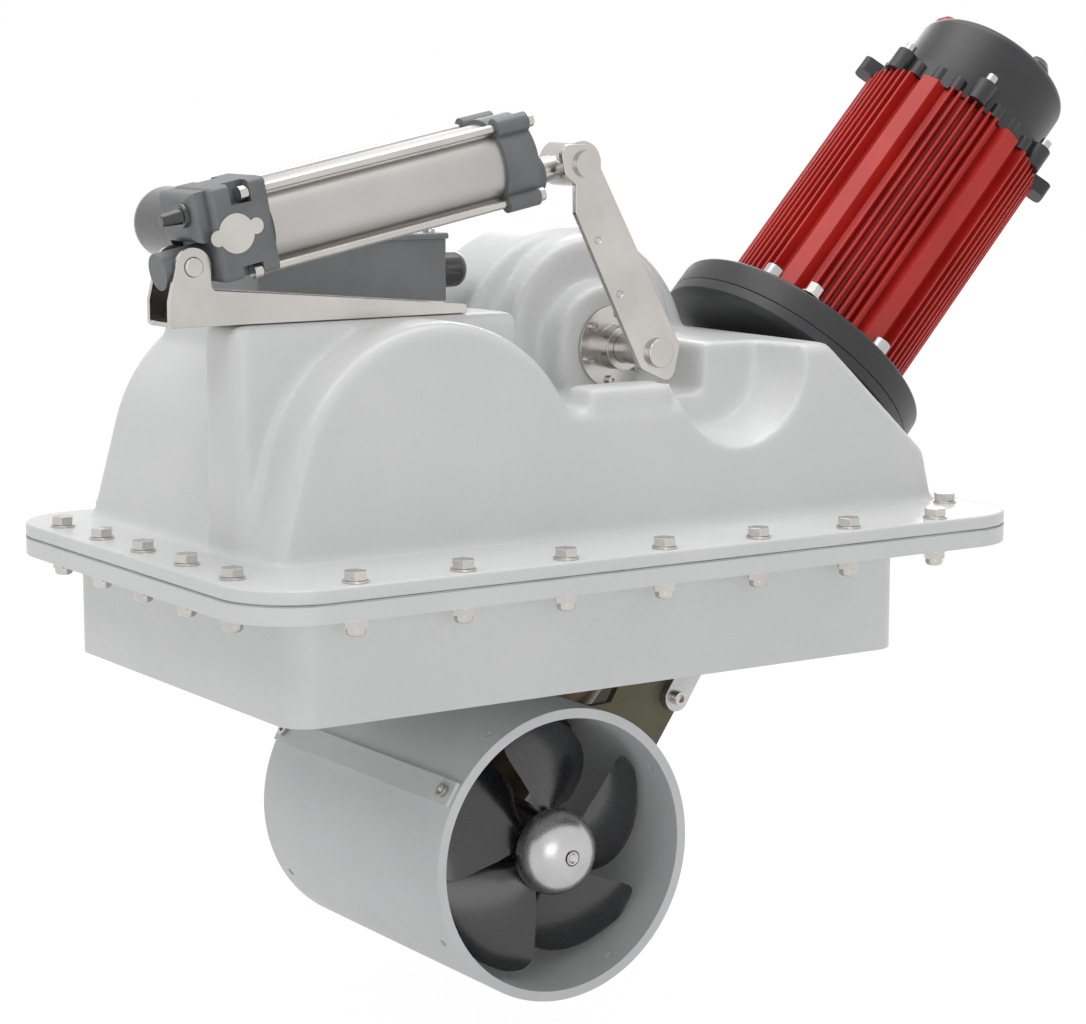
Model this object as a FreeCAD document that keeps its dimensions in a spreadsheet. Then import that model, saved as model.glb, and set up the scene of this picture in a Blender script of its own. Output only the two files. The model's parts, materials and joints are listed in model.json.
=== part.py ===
import FreeCAD, Part
import math
import os

from FreeCAD import Placement, Rotation, Vector

# Retractable bow thruster, lowered. +X runs to the motor end, -Y to the lever side, +Z up.
# The origin is the middle of the joint between the hull trunk and its cover.
# Every length is in millimetres and every angle in degrees.

driving = {
    # hull trunk that is laminated into the hull, open at the bottom
    "trunkLength": 472, "trunkWidth": 308, "trunkDrop": 81, "trunkWall": 6, "trunkCorner": 20,
    "trunkMiddleX": -20, "trunkMiddleY": -28,
    "flangeLength": 600, "flangeWidth": 366, "flangeCorner": 49, "trunkFlange": 11,
    "flangeMiddleX": 4, "flangeMiddleY": -33,
    "gasketThickness": 1, "coverFlange": 9,
    # flange bolts: a row along each long edge and a row along each end
    "boltPitch": 75, "boltInset": 12, "endBoltPitch": 60.2, "endBoltInset": 16,
    "cornerBoltInset": 26, "motorEndInset": 10,
    "boltRadius": 4, "boltHole": 4.5, "boltHead": 13, "boltHeadHeight": 5.5,
    "washerRadius": 8, "washerThickness": 1.6, "nutHeight": 7, "nutDome": 5, "boltStick": 9,
    # cover moulding
    "coverWall": 4.5, "coverFront": -138, "coverBack": 126, "coverLeft": -246, "coverRight": 286,
    "humpX": -121.9, "humpZ": 47.3, "humpRadius": 107, "valleyFloor": 92,
    "shoulderLeft": 62, "shoulderTop": 126,
    "slantStart": 384, "slantCorner": 46, "mouldRound": 8,
    "pedestalFront": -98, "pedestalBack": -50, "platformTop": 154.5, "platformRight": -38,
    "platformLeft": -190, "platformBack": 119,
    "domeRadius": 100, "domeDrop": 19, "domeFront": 5, "domeBack": 75,
    "stepRadius": 68, "stepFront": -18, "noseRadius": 44, "noseFront": -40,
    "scoopX": 112, "scoopZ": 114, "scoopMouth": 54, "scoopFloor": 44, "scoopBack": -94,
    "slotRight": 112, "slotFront": -99, "slotBack": -40,
    "padLeft": -10, "padRight": 57, "padTop": 106, "padBack": -104,
    # thruster leg and tunnel, at the lowered position
    "hubX": -17.6, "hubZ": -207, "driveTilt": 42.5,
    "tunnelRadius": 99.2, "tunnelWall": 6.7, "tunnelLength": 236, "tunnelHole": 2.75,
    "legRadius": 24, "podRadius": 25, "podLength": 112, "legTop": 216, "legHeadWidth": 24,
    "bladeTip": 88, "hubRadius": 17, "noseConeRadius": 26, "noseConeLength": 24,
    "rearConeLength": 14,
    "bladeAngle": 3, "gearFront": 7, "gearBack": 13, "gearClearance": 0.8, "gearChamber": 19,
    "stripAngle": 148.5, "stripWidth": 17, "stripThickness": 3, "stripScrewY": 107, "stripScrewRadius": 2.5,
    "tunnelHoleAngle": 30, "tunnelHoleY": 103.4, "swingScrewLength": 18,
    "propPlane": 88, "hubLength": 30, "propShaftRadius": 7, "inputShaftRadius": 8,
    # swing pivot and its parts
    "pivotX": 112, "pivotZ": -5.2, "pivotEndGap": 3, "pivotBracketDepth": 14,
    "pivotShaftRadius": 8, "pivotTubeRadius": 13, "pivotTubeLength": 130,
    "cheekInner": 28, "cheekThickness": 6, "armThickness": 6, "armWidth": 20,
    "armScrewX": 131, "armScrewZ": -132, "armScrewRadius": 3, "armElbowX": 160, "armElbowZ": -88,
    # lever, its shaft and the linkage inside
    "leverX": 74, "leverZ": 121, "leverLength": 140.2, "leverLean": -25, "leverPlane": -75,
    "leverGap": 30, "leverPlate": 4, "leverHalfWidth": 17.6, "leverFoot": 24.8, "leverHead": 20.3,
    "leverShaftRadius": 10, "leverShaftFront": -98, "bushFlange": 28.5, "bushEnd": 40,
    "crankLength": 60, "crankAngle": 215, "crankWidth": 26, "crankThickness": 8, "crankPlane": 54,
    "linkThickness": 6, "linkPinRadius": 6,
    # actuator and its bracket
    "bracketPinX": -270, "bracketPinZ": 191, "bracketWidth": 30, "bracketPlate": 3,
    "bracketReach": 195,
    "bracketPinRadius": 6, "barrelLift": 13, "barrelStart": 53, "barrelEnd": 224,
    "barrelRadius": 27, "barrelWall": 3, "tieRodHeight": 24.3, "tieRodReach": 20, "tieRodRadius": 3,
    "headLength": 24, "headBoss": 14, "rodRadius": 8.5, "rodEyeRadius": 15, "rodStart": 62,
    "housingBottom": -13.5, "housingTop": 45, "housingHalfWidth": 25, "housingStart": 14,
    "gearMotorRadius": 23, "gearMotorLength": 59, "gearMotorX": 30.2, "gearMotorZ": 17,
    # control box
    "controlLeft": -178, "controlRight": -34, "controlFront": 0, "controlBack": 92,
    "controlHeight": 42, "controlWall": 3, "lidThickness": 4, "glandRadius": 12.3,
    # electric motor, along the drive axis
    "adapterStart": 397, "adapterDepth": 10, "motorFlangeDepth": 19.6, "motorLength": 206.4,
    "endRingDepth": 18, "bellLength": 48, "motorFlangeRadius": 101,
    "finRadius": 74, "finRoot": 64.5, "finPitch": 5.15, "ribAngle": 28, "motorBore": 54,
    "ringRadius": 67, "bellRadius": 61.3, "rotorRadius": 40, "driveShaftRadius": 11,
    "driveTubeRadius": 22, "clutchRadius": 20, "clutchFace": 238,
    # clearances
    "runningFit": 0.05, "seatGap": 0.2, "sideGap": 0.4,
}

doc = FreeCAD.newDocument("RetractableThruster")
sheet = doc.addObject("Spreadsheet::Sheet", "Dim")
for row, (alias, number) in enumerate(driving.items(), start=1):
    sheet.set("A%d" % row, alias)
    sheet.set("B%d" % row, str(number))
    sheet.setAlias("B%d" % row, alias)
doc.recompute()


class Sizes:
    """Reads a size by its name from the sheet."""

    def __getattr__(self, alias):
        return float(sheet.get(alias))


size = Sizes()

# stations along the drive axis, each one piece further out than the last
flangeSeam = size.adapterStart + size.adapterDepth
motorStart = flangeSeam + size.motorFlangeDepth
motorEnd = motorStart + size.motorLength
bellStart = motorEnd + size.endRingDepth
bellEnd = bellStart + size.bellLength
nodes = []


def sine(degrees):
    return math.sin(math.radians(degrees))


def cosine(degrees):
    return math.cos(math.radians(degrees))


def node(thing, label):
    """Names a finished sub-part; its label is the name of its file."""
    thing.Label = label
    nodes.append(thing)
    return thing


def place(x=0.0, y=0.0, z=0.0, axis=(0, 0, 1), angle=0.0):
    return Placement(Vector(x, y, z), Rotation(Vector(*axis), angle))


def cylinderX(radius, length, x, y, z):
    """A cylinder that runs along +X from the point given."""
    return Part.makeCylinder(radius, length, Vector(x, y, z), Vector(1, 0, 0))


def cylinderY(radius, length, x, y, z):
    """A cylinder that runs along +Y from the point given."""
    return Part.makeCylinder(radius, length, Vector(x, y, z), Vector(0, 1, 0))


def ring(count, radius, first=0.0):
    """Places spaced evenly round local Z."""
    turns = [first + 360 / count * step for step in range(count)]
    return [place(radius * cosine(turn), radius * sine(turn), 0) for turn in turns]


def facingBack(x, y, z):
    """A local frame whose Z axis runs along +Y."""
    return place(x, y, z, (1, 0, 0), -90)


def drive(along, x=0.0, y=0.0):
    """A frame on the drive axis, which rises from the propeller shaft through the motor."""
    hub = place(size.hubX, 0, size.hubZ, (0, 1, 0), size.driveTilt)
    return hub.multiply(place(x, y, along))


def primitive(kind, name, where, **bound):
    thing = doc.addObject(kind, name)
    for attribute, rule in bound.items():
        thing.setExpression(attribute, rule)
    thing.Placement = where
    return thing


def rod(name, radius, length, where):
    return primitive("Part::Cylinder", name, where, Radius=radius, Height=length)


def block(name, length, width, height, where):
    return primitive("Part::Box", name, where, Length=length, Width=width, Height=height)


def fuse(name, parts):
    thing = doc.addObject("Part::MultiFuse", name)
    thing.Shapes = parts
    return thing


def cut(name, base, tool):
    thing = doc.addObject("Part::Cut", name)
    thing.Base = base
    thing.Tool = tool
    return thing


def tube(name, outer, inner, length, where):
    return cut(name, rod(name + "Outer", outer, length, where), rod(name + "Bore", inner, length, where))


def outline(corners):
    """Lines and tangent arcs round a closed shape: each corner is (x, y, radius)."""
    count = len(corners)
    ends = []
    for i in range(count):
        before = Vector(corners[i - 1][0], corners[i - 1][1], 0)
        here = Vector(corners[i][0], corners[i][1], 0)
        after = Vector(corners[(i + 1) % count][0], corners[(i + 1) % count][1], 0)
        radius = corners[i][2]
        back = (before - here).normalize()
        ahead = (after - here).normalize()
        half = back.getAngle(ahead) / 2
        if radius <= 0 or abs(half - math.pi / 2) < 1e-6:
            ends.append((here, None, here))
            continue
        reach = radius / math.tan(half)
        bisector = (back + ahead).normalize()
        middle = here + bisector * (radius / math.sin(half) - radius)
        ends.append((here + back * reach, middle, here + ahead * reach))
    pieces = []
    for i in range(count):
        start, middle, finish = ends[i]
        if middle is not None:
            pieces.append(Part.Arc(start, middle, finish))
        following = ends[(i + 1) % count][0]
        if (following - finish).Length > 1e-6:
            pieces.append(Part.LineSegment(finish, following))
    return pieces


def sketch(name, pieces, where):
    thing = doc.addObject("Sketcher::SketchObject", name)
    thing.addGeometry(pieces, False)
    thing.Placement = where
    return thing


def slab(name, pieces, thickness, where):
    """A plate: its outline lies on the local XY plane and it is as thick as the rule says."""
    thing = doc.addObject("Part::Extrusion", name)
    thing.Base = sketch(name + "Outline", pieces, where)
    thing.DirMode = "Normal"
    thing.Solid = True
    thing.setExpression("LengthFwd", thickness)
    return thing


def upright(x, y, z):
    """A frame for side views: local x is +X, local y is +Z, and the thickness runs to -Y."""
    return place(x, y, z, (1, 0, 0), 90)


def turned(name, pieces, where):
    """A turned piece: its half outline lies on the local XZ plane and turns about local Z."""
    thing = doc.addObject("Part::Revolution", name)
    thing.Source = sketch(name + "Outline", pieces, where.multiply(upright(0, 0, 0)))
    thing.Axis = where.Rotation.multVec(Vector(0, 0, 1))
    thing.Base = where.Base
    thing.Angle = 360
    thing.Solid = True
    return thing


def group(name, shapes):
    """Several loose solids that share one node."""
    thing = doc.addObject("Part::Feature", name)
    thing.Shape = Part.makeCompound(shapes)
    return thing


def solidOf(name, shape):
    thing = doc.addObject("Part::Feature", name)
    thing.Shape = shape
    return thing


def copies(master, places):
    """Copies of a finished piece at each place; the master itself is not a node."""
    doc.recompute()
    made = []
    for where in places:
        shape = master.Shape.copy()
        shape.Placement = where
        made.append(shape)
    return made


def screwHoles(places, radius):
    """Cylinders for the holes of screws that stand at these places."""
    holes = []
    for where in places:
        hole = Part.makeCylinder(radius + size.runningFit, 60, Vector(0, 0, -30))
        hole.Placement = where
        holes.append(hole)
    return Part.makeCompound(holes)


def hexagon(acrossFlats, height):
    wire = Part.makePolygon([Vector(acrossFlats / math.sqrt(3) * cosine(60 * i),
                                    acrossFlats / math.sqrt(3) * sine(60 * i), 0) for i in range(7)])
    return Part.Face(wire).extrude(Vector(0, 0, height))


def capScrew(headRadius, headHeight, shankRadius, shankLength):
    """Socket screw under its own seat plane: the head stands on local z = 0."""
    head = Part.makeCylinder(headRadius, headHeight)
    socket = hexagon(headRadius, headHeight * 0.5)
    socket.translate(Vector(0, 0, headHeight * 0.55))
    return head.cut(socket).fuse(Part.makeCylinder(shankRadius, shankLength, Vector(0, 0, -shankLength)))


# Trunk and cover share the flange outline and the bolt pattern.

coverTop = size.gasketThickness + size.coverFlange


# corners of a rectangle, in turn
aroundCorners = ((-1, -1), (1, -1), (1, 1), (-1, 1))


def flangeBoltPlaces():
    places = []
    rowY = size.flangeWidth / 2 - size.boltInset
    for step in range(-3, 4):
        places += [(step * size.boltPitch, size.flangeMiddleY + side * rowY) for side in (-1, 1)]
    leftX = size.flangeMiddleX - size.flangeLength / 2 + size.endBoltInset
    rightX = size.flangeMiddleX + size.flangeLength / 2
    for step in range(-2, 3):
        y = size.flangeMiddleY + step * size.endBoltPitch
        inset = size.cornerBoltInset if step == -2 else size.motorEndInset
        places += [(leftX, y), (rightX - inset, y)]
    return places


def flangePlate(thickness, z):
    """A flange ring's blank: a plate with round corners and its bolt holes."""
    halfX, halfY = size.flangeLength / 2, size.flangeWidth / 2
    radius = size.flangeCorner
    corners = [(size.flangeMiddleX + sideX * halfX, size.flangeMiddleY + sideY * halfY, radius)
               for sideX, sideY in aroundCorners]
    wire = Part.Wire([piece.toShape() for piece in outline(corners)])
    plate = Part.Face(wire).extrude(Vector(0, 0, thickness))
    plate.translate(Vector(0, 0, z))
    holes = [Part.makeCylinder(size.boltHole, thickness, Vector(x, y, z)) for x, y in flangeBoltPlaces()]
    return plate.cut(Part.makeCompound(holes))


def trunkPrism(inset, bottom, top):
    halfX = size.trunkLength / 2 - inset
    halfY = size.trunkWidth / 2 - inset
    radius = size.trunkCorner - inset
    corners = [(size.trunkMiddleX + sideX * halfX, size.trunkMiddleY + sideY * halfY, radius)
               for sideX, sideY in aroundCorners]
    wire = Part.Wire([piece.toShape() for piece in outline(corners)])
    wire.translate(Vector(0, 0, bottom))
    return Part.Face(wire).extrude(Vector(0, 0, top - bottom))


def hullTrunk():
    """The open box that is laminated into the hull, with its bolting flange."""
    walls = trunkPrism(0, -size.trunkDrop, 0)
    body = flangePlate(size.trunkFlange, -size.trunkFlange).fuse(walls)
    return body.cut(trunkPrism(size.trunkWall, -size.trunkDrop, 0)).removeSplitter()


node(solidOf("Trunk", hullTrunk()), "hull_trunk")


def flangeGasket():
    ring = flangePlate(size.gasketThickness, 0)
    return ring.cut(trunkPrism(-size.trunkWall, 0, size.gasketThickness))


node(solidOf("Gasket", flangeGasket()), "flange_gasket")


# The cover is a moulding of even wall: the outer form and the inner form come from the same rules.


def slantZ(x, along):
    """Height at x of the plane square to the drive axis at this distance along it."""
    return size.hubZ + (along - (x - size.hubX) * sine(size.driveTilt)) / cosine(size.driveTilt)


def slantX(z, along):
    return size.hubX + (along - (z - size.hubZ) * cosine(size.driveTilt)) / sine(size.driveTilt)


def coverProfile(inset, bottom):
    """Side view of the moulding: hump over the raised tunnel, valley, shoulder, motor slant."""
    radius = size.humpRadius - inset
    floor = size.valleyFloor - inset
    top = size.shoulderTop - inset
    along = size.slantStart - inset
    foot = Vector(size.coverLeft + inset, 0, bottom)
    # the left flank is tangent to the hump
    dx, dz = foot.x - size.humpX, foot.z - size.humpZ
    far = math.hypot(dx, dz)
    angle = math.atan2(dz, dx) - math.acos(radius / far)
    flank = Vector(size.humpX + radius * math.cos(angle), 0, size.humpZ + radius * math.sin(angle))
    endAngle = math.asin((floor - size.humpZ) / radius)
    valley = Vector(size.humpX + radius * math.cos(endAngle), 0, floor)
    crown = Vector(size.humpX, 0, size.humpZ + radius)
    cornerX = slantX(size.slantCorner, along)
    shoulder = size.shoulderLeft + inset
    points = [valley, Vector(shoulder, 0, floor), Vector(shoulder, 0, top),
              Vector(slantX(top, along), 0, top),
              Vector(min(cornerX, size.coverRight - inset), 0, size.slantCorner),
              Vector(size.coverRight - inset, 0, bottom), foot, flank]
    edges = [Part.Arc(flank, crown, valley).toShape()]
    edges += [Part.makeLine(a, b) for a, b in zip(points, points[1:])]
    return Part.Wire(edges)


def runsAcross(edge):
    a, b = edge.Vertexes[0].Point, edge.Vertexes[-1].Point
    return abs(a.x - b.x) < 1e-6 and abs(a.z - b.z) < 1e-6


def coverMain(inset, bottom, rounding):
    front, back = size.coverFront + inset, size.coverBack - inset
    face = Part.Face(coverProfile(inset, bottom))
    face.translate(Vector(0, front, 0))
    body = face.extrude(Vector(0, back - front, 0))
    if rounding <= 0:
        return body
    long = [e for e in body.Edges if len(e.Vertexes) == 2 and runsAcross(e)
            and e.Vertexes[0].Point.z > bottom + 1 and abs(e.Vertexes[0].Point.x - size.coverLeft) > 15]
    body = body.makeFillet(rounding, long)
    rim = [e for e in body.Edges if e.CenterOfMass.z > bottom + 1
           and min(abs(e.CenterOfMass.y - front), abs(e.CenterOfMass.y - back)) < 1e-6]
    return body.makeFillet(rounding, rim)


def roundedBlock(low, high, rounding, keep):
    """A block whose edges are rounded, apart from those that keep() names."""
    body = Part.makeBox(high[0] - low[0], high[1] - low[1], high[2] - low[2], Vector(*low))
    if rounding <= 0:
        return body
    return body.makeFillet(rounding, [e for e in body.Edges if not keep(e.CenterOfMass)])


def roundedDrum(x, z, radius, front, back, rounding):
    """A drum along Y whose front rim is rounded."""
    body = Part.makeCylinder(radius, back - front, Vector(x, front, z), Vector(0, 1, 0))
    if rounding <= 0:
        return body
    rims = [e for e in body.Edges
            if abs(e.CenterOfMass.y - front) < 1e-6 or abs(e.CenterOfMass.y - back) < 1e-6]
    return body.makeFillet(rounding, rims)


def coverForm(inset, bottom, rounding):
    top = size.platformTop - inset
    right = size.platformRight - inset
    pedestal = roundedBlock((size.coverLeft + inset, size.pedestalFront + inset, bottom),
                            (right, size.pedestalBack - inset, top), rounding, lambda c: c.z < bottom + 1)
    platform = roundedBlock((size.platformLeft + inset, size.pedestalFront + inset + 12, size.humpZ),
                            (right - 3, size.platformBack - inset, top), rounding,
                            lambda c: c.z < size.humpZ + 1)
    domeZ = size.leverZ - size.domeDrop
    dome = roundedDrum(size.leverX, domeZ, size.domeRadius - inset, size.domeFront + inset,
                       size.domeBack - inset, rounding)
    step = roundedDrum(size.leverX, domeZ + size.domeRadius - size.stepRadius - 6, size.stepRadius - inset,
                       size.stepFront + inset, size.domeBack - 20, rounding)
    nose = roundedDrum(size.leverX, size.leverZ, size.noseRadius - inset, size.noseFront + inset,
                       size.domeBack - 20, rounding * 0.8)
    body = coverMain(inset, bottom, rounding).multiFuse([pedestal, platform, dome, step, nose])
    scoopDepth = size.scoopBack - size.coverFront + inset
    scoop = Part.makeCone(size.scoopMouth + inset, size.scoopFloor + inset, scoopDepth,
                          Vector(size.scoopX, size.coverFront, size.scoopZ), Vector(0, 1, 0))
    slotLeft = size.shoulderLeft - 40
    slot = Part.makeBox(size.slotRight - slotLeft + inset, size.slotBack - size.slotFront + 2 * inset, 100,
                        Vector(slotLeft, size.slotFront - inset, size.valleyFloor - inset))
    body = body.cut(scoop).cut(slot)
    # nothing of the moulding hangs below its flange
    skirt = Part.makeBox(800, 600, 200, Vector(-400, -300, bottom - 200))
    return body.cut(skirt)


def moulding():
    outer = coverForm(0, size.gasketThickness, size.mouldRound)
    inner = coverForm(size.coverWall, size.gasketThickness, 0)
    pad = roundedBlock((size.padLeft, size.coverFront + 2, size.valleyFloor - 12),
                       (size.padRight, size.padBack, size.padTop), 6, lambda c: c.z < size.valleyFloor)
    shell = outer.fuse(flangePlate(size.coverFlange, size.gasketThickness)).fuse(pad)
    shell = shell.cut(inner)
    # openings for the lever shaft's bush and for the drive tube
    bush = cylinderY(size.leverShaftRadius + 8, 50, size.leverX, size.noseFront - 25, size.leverZ)
    port = Part.makeCylinder(52, 60)
    port.Placement = drive(size.slantStart - 30)
    return shell.cut(bush).cut(port).removeSplitter()


cover = node(solidOf("Cover", moulding()), "cover_moulding")

# Flange fasteners: each group is one node.

boltReach = coverTop + size.trunkFlange + 2 * size.washerThickness + size.boltStick
boltMaster = solidOf("BoltMaster", hexagon(size.boltHead, size.boltHeadHeight).fuse(
    Part.makeCylinder(size.boltRadius, boltReach, Vector(0, 0, -boltReach))))
washerMaster = tube("WasherMaster", "Dim.washerRadius", "Dim.boltRadius + Dim.runningFit",
                    "Dim.washerThickness", place())


def nutShape():
    """A locknut with a domed collar."""
    collar = Part.makeCylinder(size.boltHead / 2 - 0.5, size.nutDome, Vector(0, 0, 0), Vector(0, 0, -1))
    collar = collar.makeFillet(3, [e for e in collar.Edges if abs(e.CenterOfMass.z + size.nutDome) < 1e-6])
    body = hexagon(size.boltHead, size.nutHeight - size.nutDome / 2)
    body.translate(Vector(0, 0, -(size.nutHeight - size.nutDome / 2)))
    collar.translate(Vector(0, 0, -(size.nutHeight - size.nutDome / 2)))
    hole = Part.makeCylinder(size.boltRadius + size.runningFit, 40, Vector(0, 0, -20))
    return body.fuse(collar).cut(hole)


nutMaster = solidOf("NutMaster", nutShape())
headSeat = coverTop + size.washerThickness
nutSeat = -size.trunkFlange - size.washerThickness
boltPlaces = flangeBoltPlaces()
headPlaces = [place(x, y, headSeat) for x, y in boltPlaces]
node(group("FlangeBolts", copies(boltMaster, headPlaces)), "flange_bolts")
washerPlaces = [place(x, y, z) for x, y in boltPlaces for z in (coverTop, nutSeat)]
node(group("FlangeWashers", copies(washerMaster, washerPlaces)), "flange_washers")
node(group("FlangeNuts", copies(nutMaster, [place(x, y, nutSeat) for x, y in boltPlaces])), "flange_nuts")

# Motor, along the drive axis.


def adapterHalf():
    """Half outline of the motor adapter: a flared neck under a flat disc."""
    bore = size.driveTubeRadius + size.seatGap
    neck = 60
    flare = Part.Arc(Vector(neck, size.slantStart + 2, 0), Vector(76, size.adapterStart - 5, 0),
                     Vector(size.motorFlangeRadius - 6, size.adapterStart - 1, 0))
    points = [Vector(size.motorFlangeRadius - 6, size.adapterStart - 1, 0),
              Vector(size.motorFlangeRadius, size.adapterStart + 2, 0),
              Vector(size.motorFlangeRadius, flangeSeam, 0), Vector(bore, flangeSeam, 0),
              Vector(bore, size.slantStart, 0), Vector(neck, size.slantStart, 0),
              Vector(neck, size.slantStart + 2, 0)]
    return [flare] + [Part.LineSegment(a, b) for a, b in zip(points, points[1:])]


node(turned("MotorAdapter", adapterHalf(), drive(0)), "motor_adapter")


def flangeHalf():
    """Half outline of the motor flange: a thick disc that carries the lower bearing."""
    bore = size.driveShaftRadius + 8
    seam = flangeSeam
    rim = size.motorFlangeRadius
    return outline([(bore, seam, 0), (rim, seam, 1), (rim, motorStart, 3), (bore, motorStart, 0)])


flangeScrews = [drive(motorStart).multiply(spot) for spot in ring(6, size.motorFlangeRadius - 9, -34)]
flangeBlank = turned("MotorFlangeBlank", flangeHalf(), drive(0))
flangeHoles = solidOf("FlangeScrewHoles", screwHoles(flangeScrews, 4))
node(cut("MotorFlange", flangeBlank, flangeHoles), "motor_flange")


def finnedRing():
    """Section of the motor body: six ribs with sloping sides, and seven thin fins between each pair."""
    points = []
    # half widths at the root and at the tip
    ridges = [(size.ribAngle + 60 * sector, 10, 6.4) for sector in range(6)]
    for sector in range(6):
        middle = size.ribAngle + 60 * sector + 30
        ridges += [(middle + (fin - 3) * size.finPitch, 1.6, 1) for fin in range(7)]
    ridges.sort(key=lambda ridge: ridge[0] % 360)
    for angle, rootHalf, tipHalf in ridges:
        root, tip = size.finRoot, size.finRadius
        for radius, side in ((root, -rootHalf), (tip, -tipHalf), (tip, tipHalf), (root, rootHalf)):
            turn = angle + math.degrees(math.asin(side / radius))
            points.append(Vector(radius * cosine(turn), radius * sine(turn), 0))
    points.append(points[0])
    section = Part.Face(Part.makePolygon(points))
    bore = Part.Face(Part.Wire(Part.makeCircle(size.motorBore)))
    return section.cut(bore).extrude(Vector(0, 0, motorEnd - motorStart))


motorBody = node(solidOf("MotorBody", finnedRing()), "motor_body")
motorBody.Placement = drive(motorStart)


# half way between two ribs of the motor body
lobeAngle = size.ribAngle - 30


def endRing():
    """Black ring over the fins' ends: lobes for its screws, small bosses between them, and two ears."""
    band = Part.makeCylinder(size.ringRadius, size.endRingDepth)
    bosses = []
    # radius of the row, first angle, radius and height of its bosses
    for row, first, radius, height in ((size.ringRadius + 3, lobeAngle, 8, size.endRingDepth),
                                       (size.ringRadius, lobeAngle + 15, 5, 11),
                                       (size.ringRadius, lobeAngle - 15, 5, 11),
                                       (size.ringRadius - 3, size.ribAngle, 5, 14)):
        boss = Part.makeCylinder(radius, height)
        for spot in ring(6, row, first):
            copy = boss.copy()
            copy.Placement = spot
            bosses.append(copy)
    earReach = size.ringRadius + 18
    for turn in (120, 300):
        ear = Part.makeBox(earReach, 17, 12, Vector(0, -8.5, 0))
        ear = ear.makeFillet(5, [e for e in ear.Edges if abs(e.CenterOfMass.x - earReach) < 1e-6
                                 and abs(e.CenterOfMass.z - 6) < 1e-6])
        ear.rotate(Vector(0, 0, 0), Vector(0, 0, 1), size.ribAngle + turn)
        bosses.append(ear)
    bore = Part.makeCylinder(size.motorBore, 60, Vector(0, 0, -10))
    return band.multiFuse(bosses).cut(bore).removeSplitter()


ringScrews = [drive(bellStart).multiply(spot) for spot in ring(6, size.ringRadius + 4, lobeAngle)]
ringShape = endRing()
ringShape.Placement = drive(motorEnd)
node(solidOf("EndRing", ringShape.cut(screwHoles(ringScrews, 2.5))), "motor_end_ring")


def bellHalf():
    """Half outline of the end bell, closed at the top with a bearing pocket inside."""
    inner = size.bellRadius - 5
    top, start = bellEnd, bellStart
    seat = size.driveShaftRadius + 8
    return outline([(size.bellRadius, start, 0), (size.bellRadius, top, 8), (0, top, 0), (0, top - 6, 0),
                    (seat, top - 6, 0), (seat, top - 18, 0), (seat + 4, top - 18, 0),
                    (seat + 4, top - 7, 0),
                    (inner, top - 7, 4), (inner, start, 0)])


node(turned("EndBell", bellHalf(), drive(0)), "motor_end_bell")
bearingMaster = tube("BearingMaster", "Dim.driveShaftRadius + 8 - Dim.runningFit",
                     "Dim.driveShaftRadius + Dim.runningFit", "10", place())
bearingPlaces = [drive(flangeSeam + 4), drive(bellEnd - 17)]
node(group("MotorBearings", copies(bearingMaster, bearingPlaces)), "motor_bearings")
stator = node(tube("Stator", "Dim.motorBore - Dim.seatGap", "Dim.rotorRadius + 1",
                   "Dim.motorLength - 60", drive(motorStart + 30)), "motor_stator")
rotorCore = rod("RotorCore", "Dim.rotorRadius", "Dim.motorLength - 60", drive(motorStart + 30))
toBellEnd = ("Dim.adapterStart + Dim.adapterDepth + Dim.motorFlangeDepth + Dim.motorLength"
             " + Dim.endRingDepth + Dim.bellLength")
rotorShaft = rod("RotorShaft", "Dim.driveShaftRadius", toBellEnd + " - 6.5 - Dim.clutchFace - 12",
                 drive(size.clutchFace + 12))
node(fuse("Rotor", [rotorCore, rotorShaft]), "motor_rotor")
studMaster = rod("StudMaster", "3.5", "8", place())
capSpots = ((-40, 24), (4, -38))
studPlaces = [drive(bellEnd, x, y) for x, y in capSpots]
node(group("TerminalStuds", copies(studMaster, studPlaces)), "terminal_studs")


def capHalf():
    """Half outline of a soft terminal cap, hollow for its stud."""
    return outline([(0, 9, 0), (4, 9, 0), (4, 0, 0), (11, 0, 1), (11, 6, 4), (7, 12, 2), (0, 12, 0)])


node(turned("TerminalCapA", capHalf(), studPlaces[0]), "terminal_cap_red")
node(turned("TerminalCapB", capHalf(), studPlaces[1]), "terminal_cap_black")


flangeScrew = solidOf("FlangeScrewMaster", capScrew(6.5, 8, 4, 14))
ringScrew = solidOf("RingScrewMaster", capScrew(4.2, 7, 2.5, 12))
motorScrews = copies(flangeScrew, flangeScrews) + copies(ringScrew, ringScrews)
node(group("MotorScrews", motorScrews), "motor_screws")
driveTube = tube("DriveTube", "Dim.driveTubeRadius", "Dim.driveShaftRadius + 4",
                 "Dim.adapterStart + Dim.adapterDepth - Dim.clutchFace - 14", drive(size.clutchFace + 14))
node(driveTube, "drive_tube")

# Clutch: it lets the leg swing away from the motor and drives it when lowered.

clutchDisc = rod("ClutchUpperDisc", "Dim.clutchRadius", "11.5", drive(size.clutchFace + 0.5))
clutchTongue = block("ClutchTongue", "8", "2 * Dim.clutchRadius - 6", "4.5",
                     drive(size.clutchFace - 3, -4, -size.clutchRadius + 3))
node(fuse("ClutchUpper", [clutchDisc, clutchTongue]), "clutch_upper_half")
clutchLower = rod("ClutchLowerDisc", "Dim.clutchRadius", "12", drive(size.clutchFace - 12))
clutchSlot = block("ClutchSlot", "11", "2 * Dim.clutchRadius + 2", "5",
                   drive(size.clutchFace - 4, -5.5, -size.clutchRadius - 1))
node(cut("ClutchLower", clutchLower, clutchSlot), "clutch_lower_half")

# Swing frame: pivot tube, cheeks and arms carry the leg and the tunnel.


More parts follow.
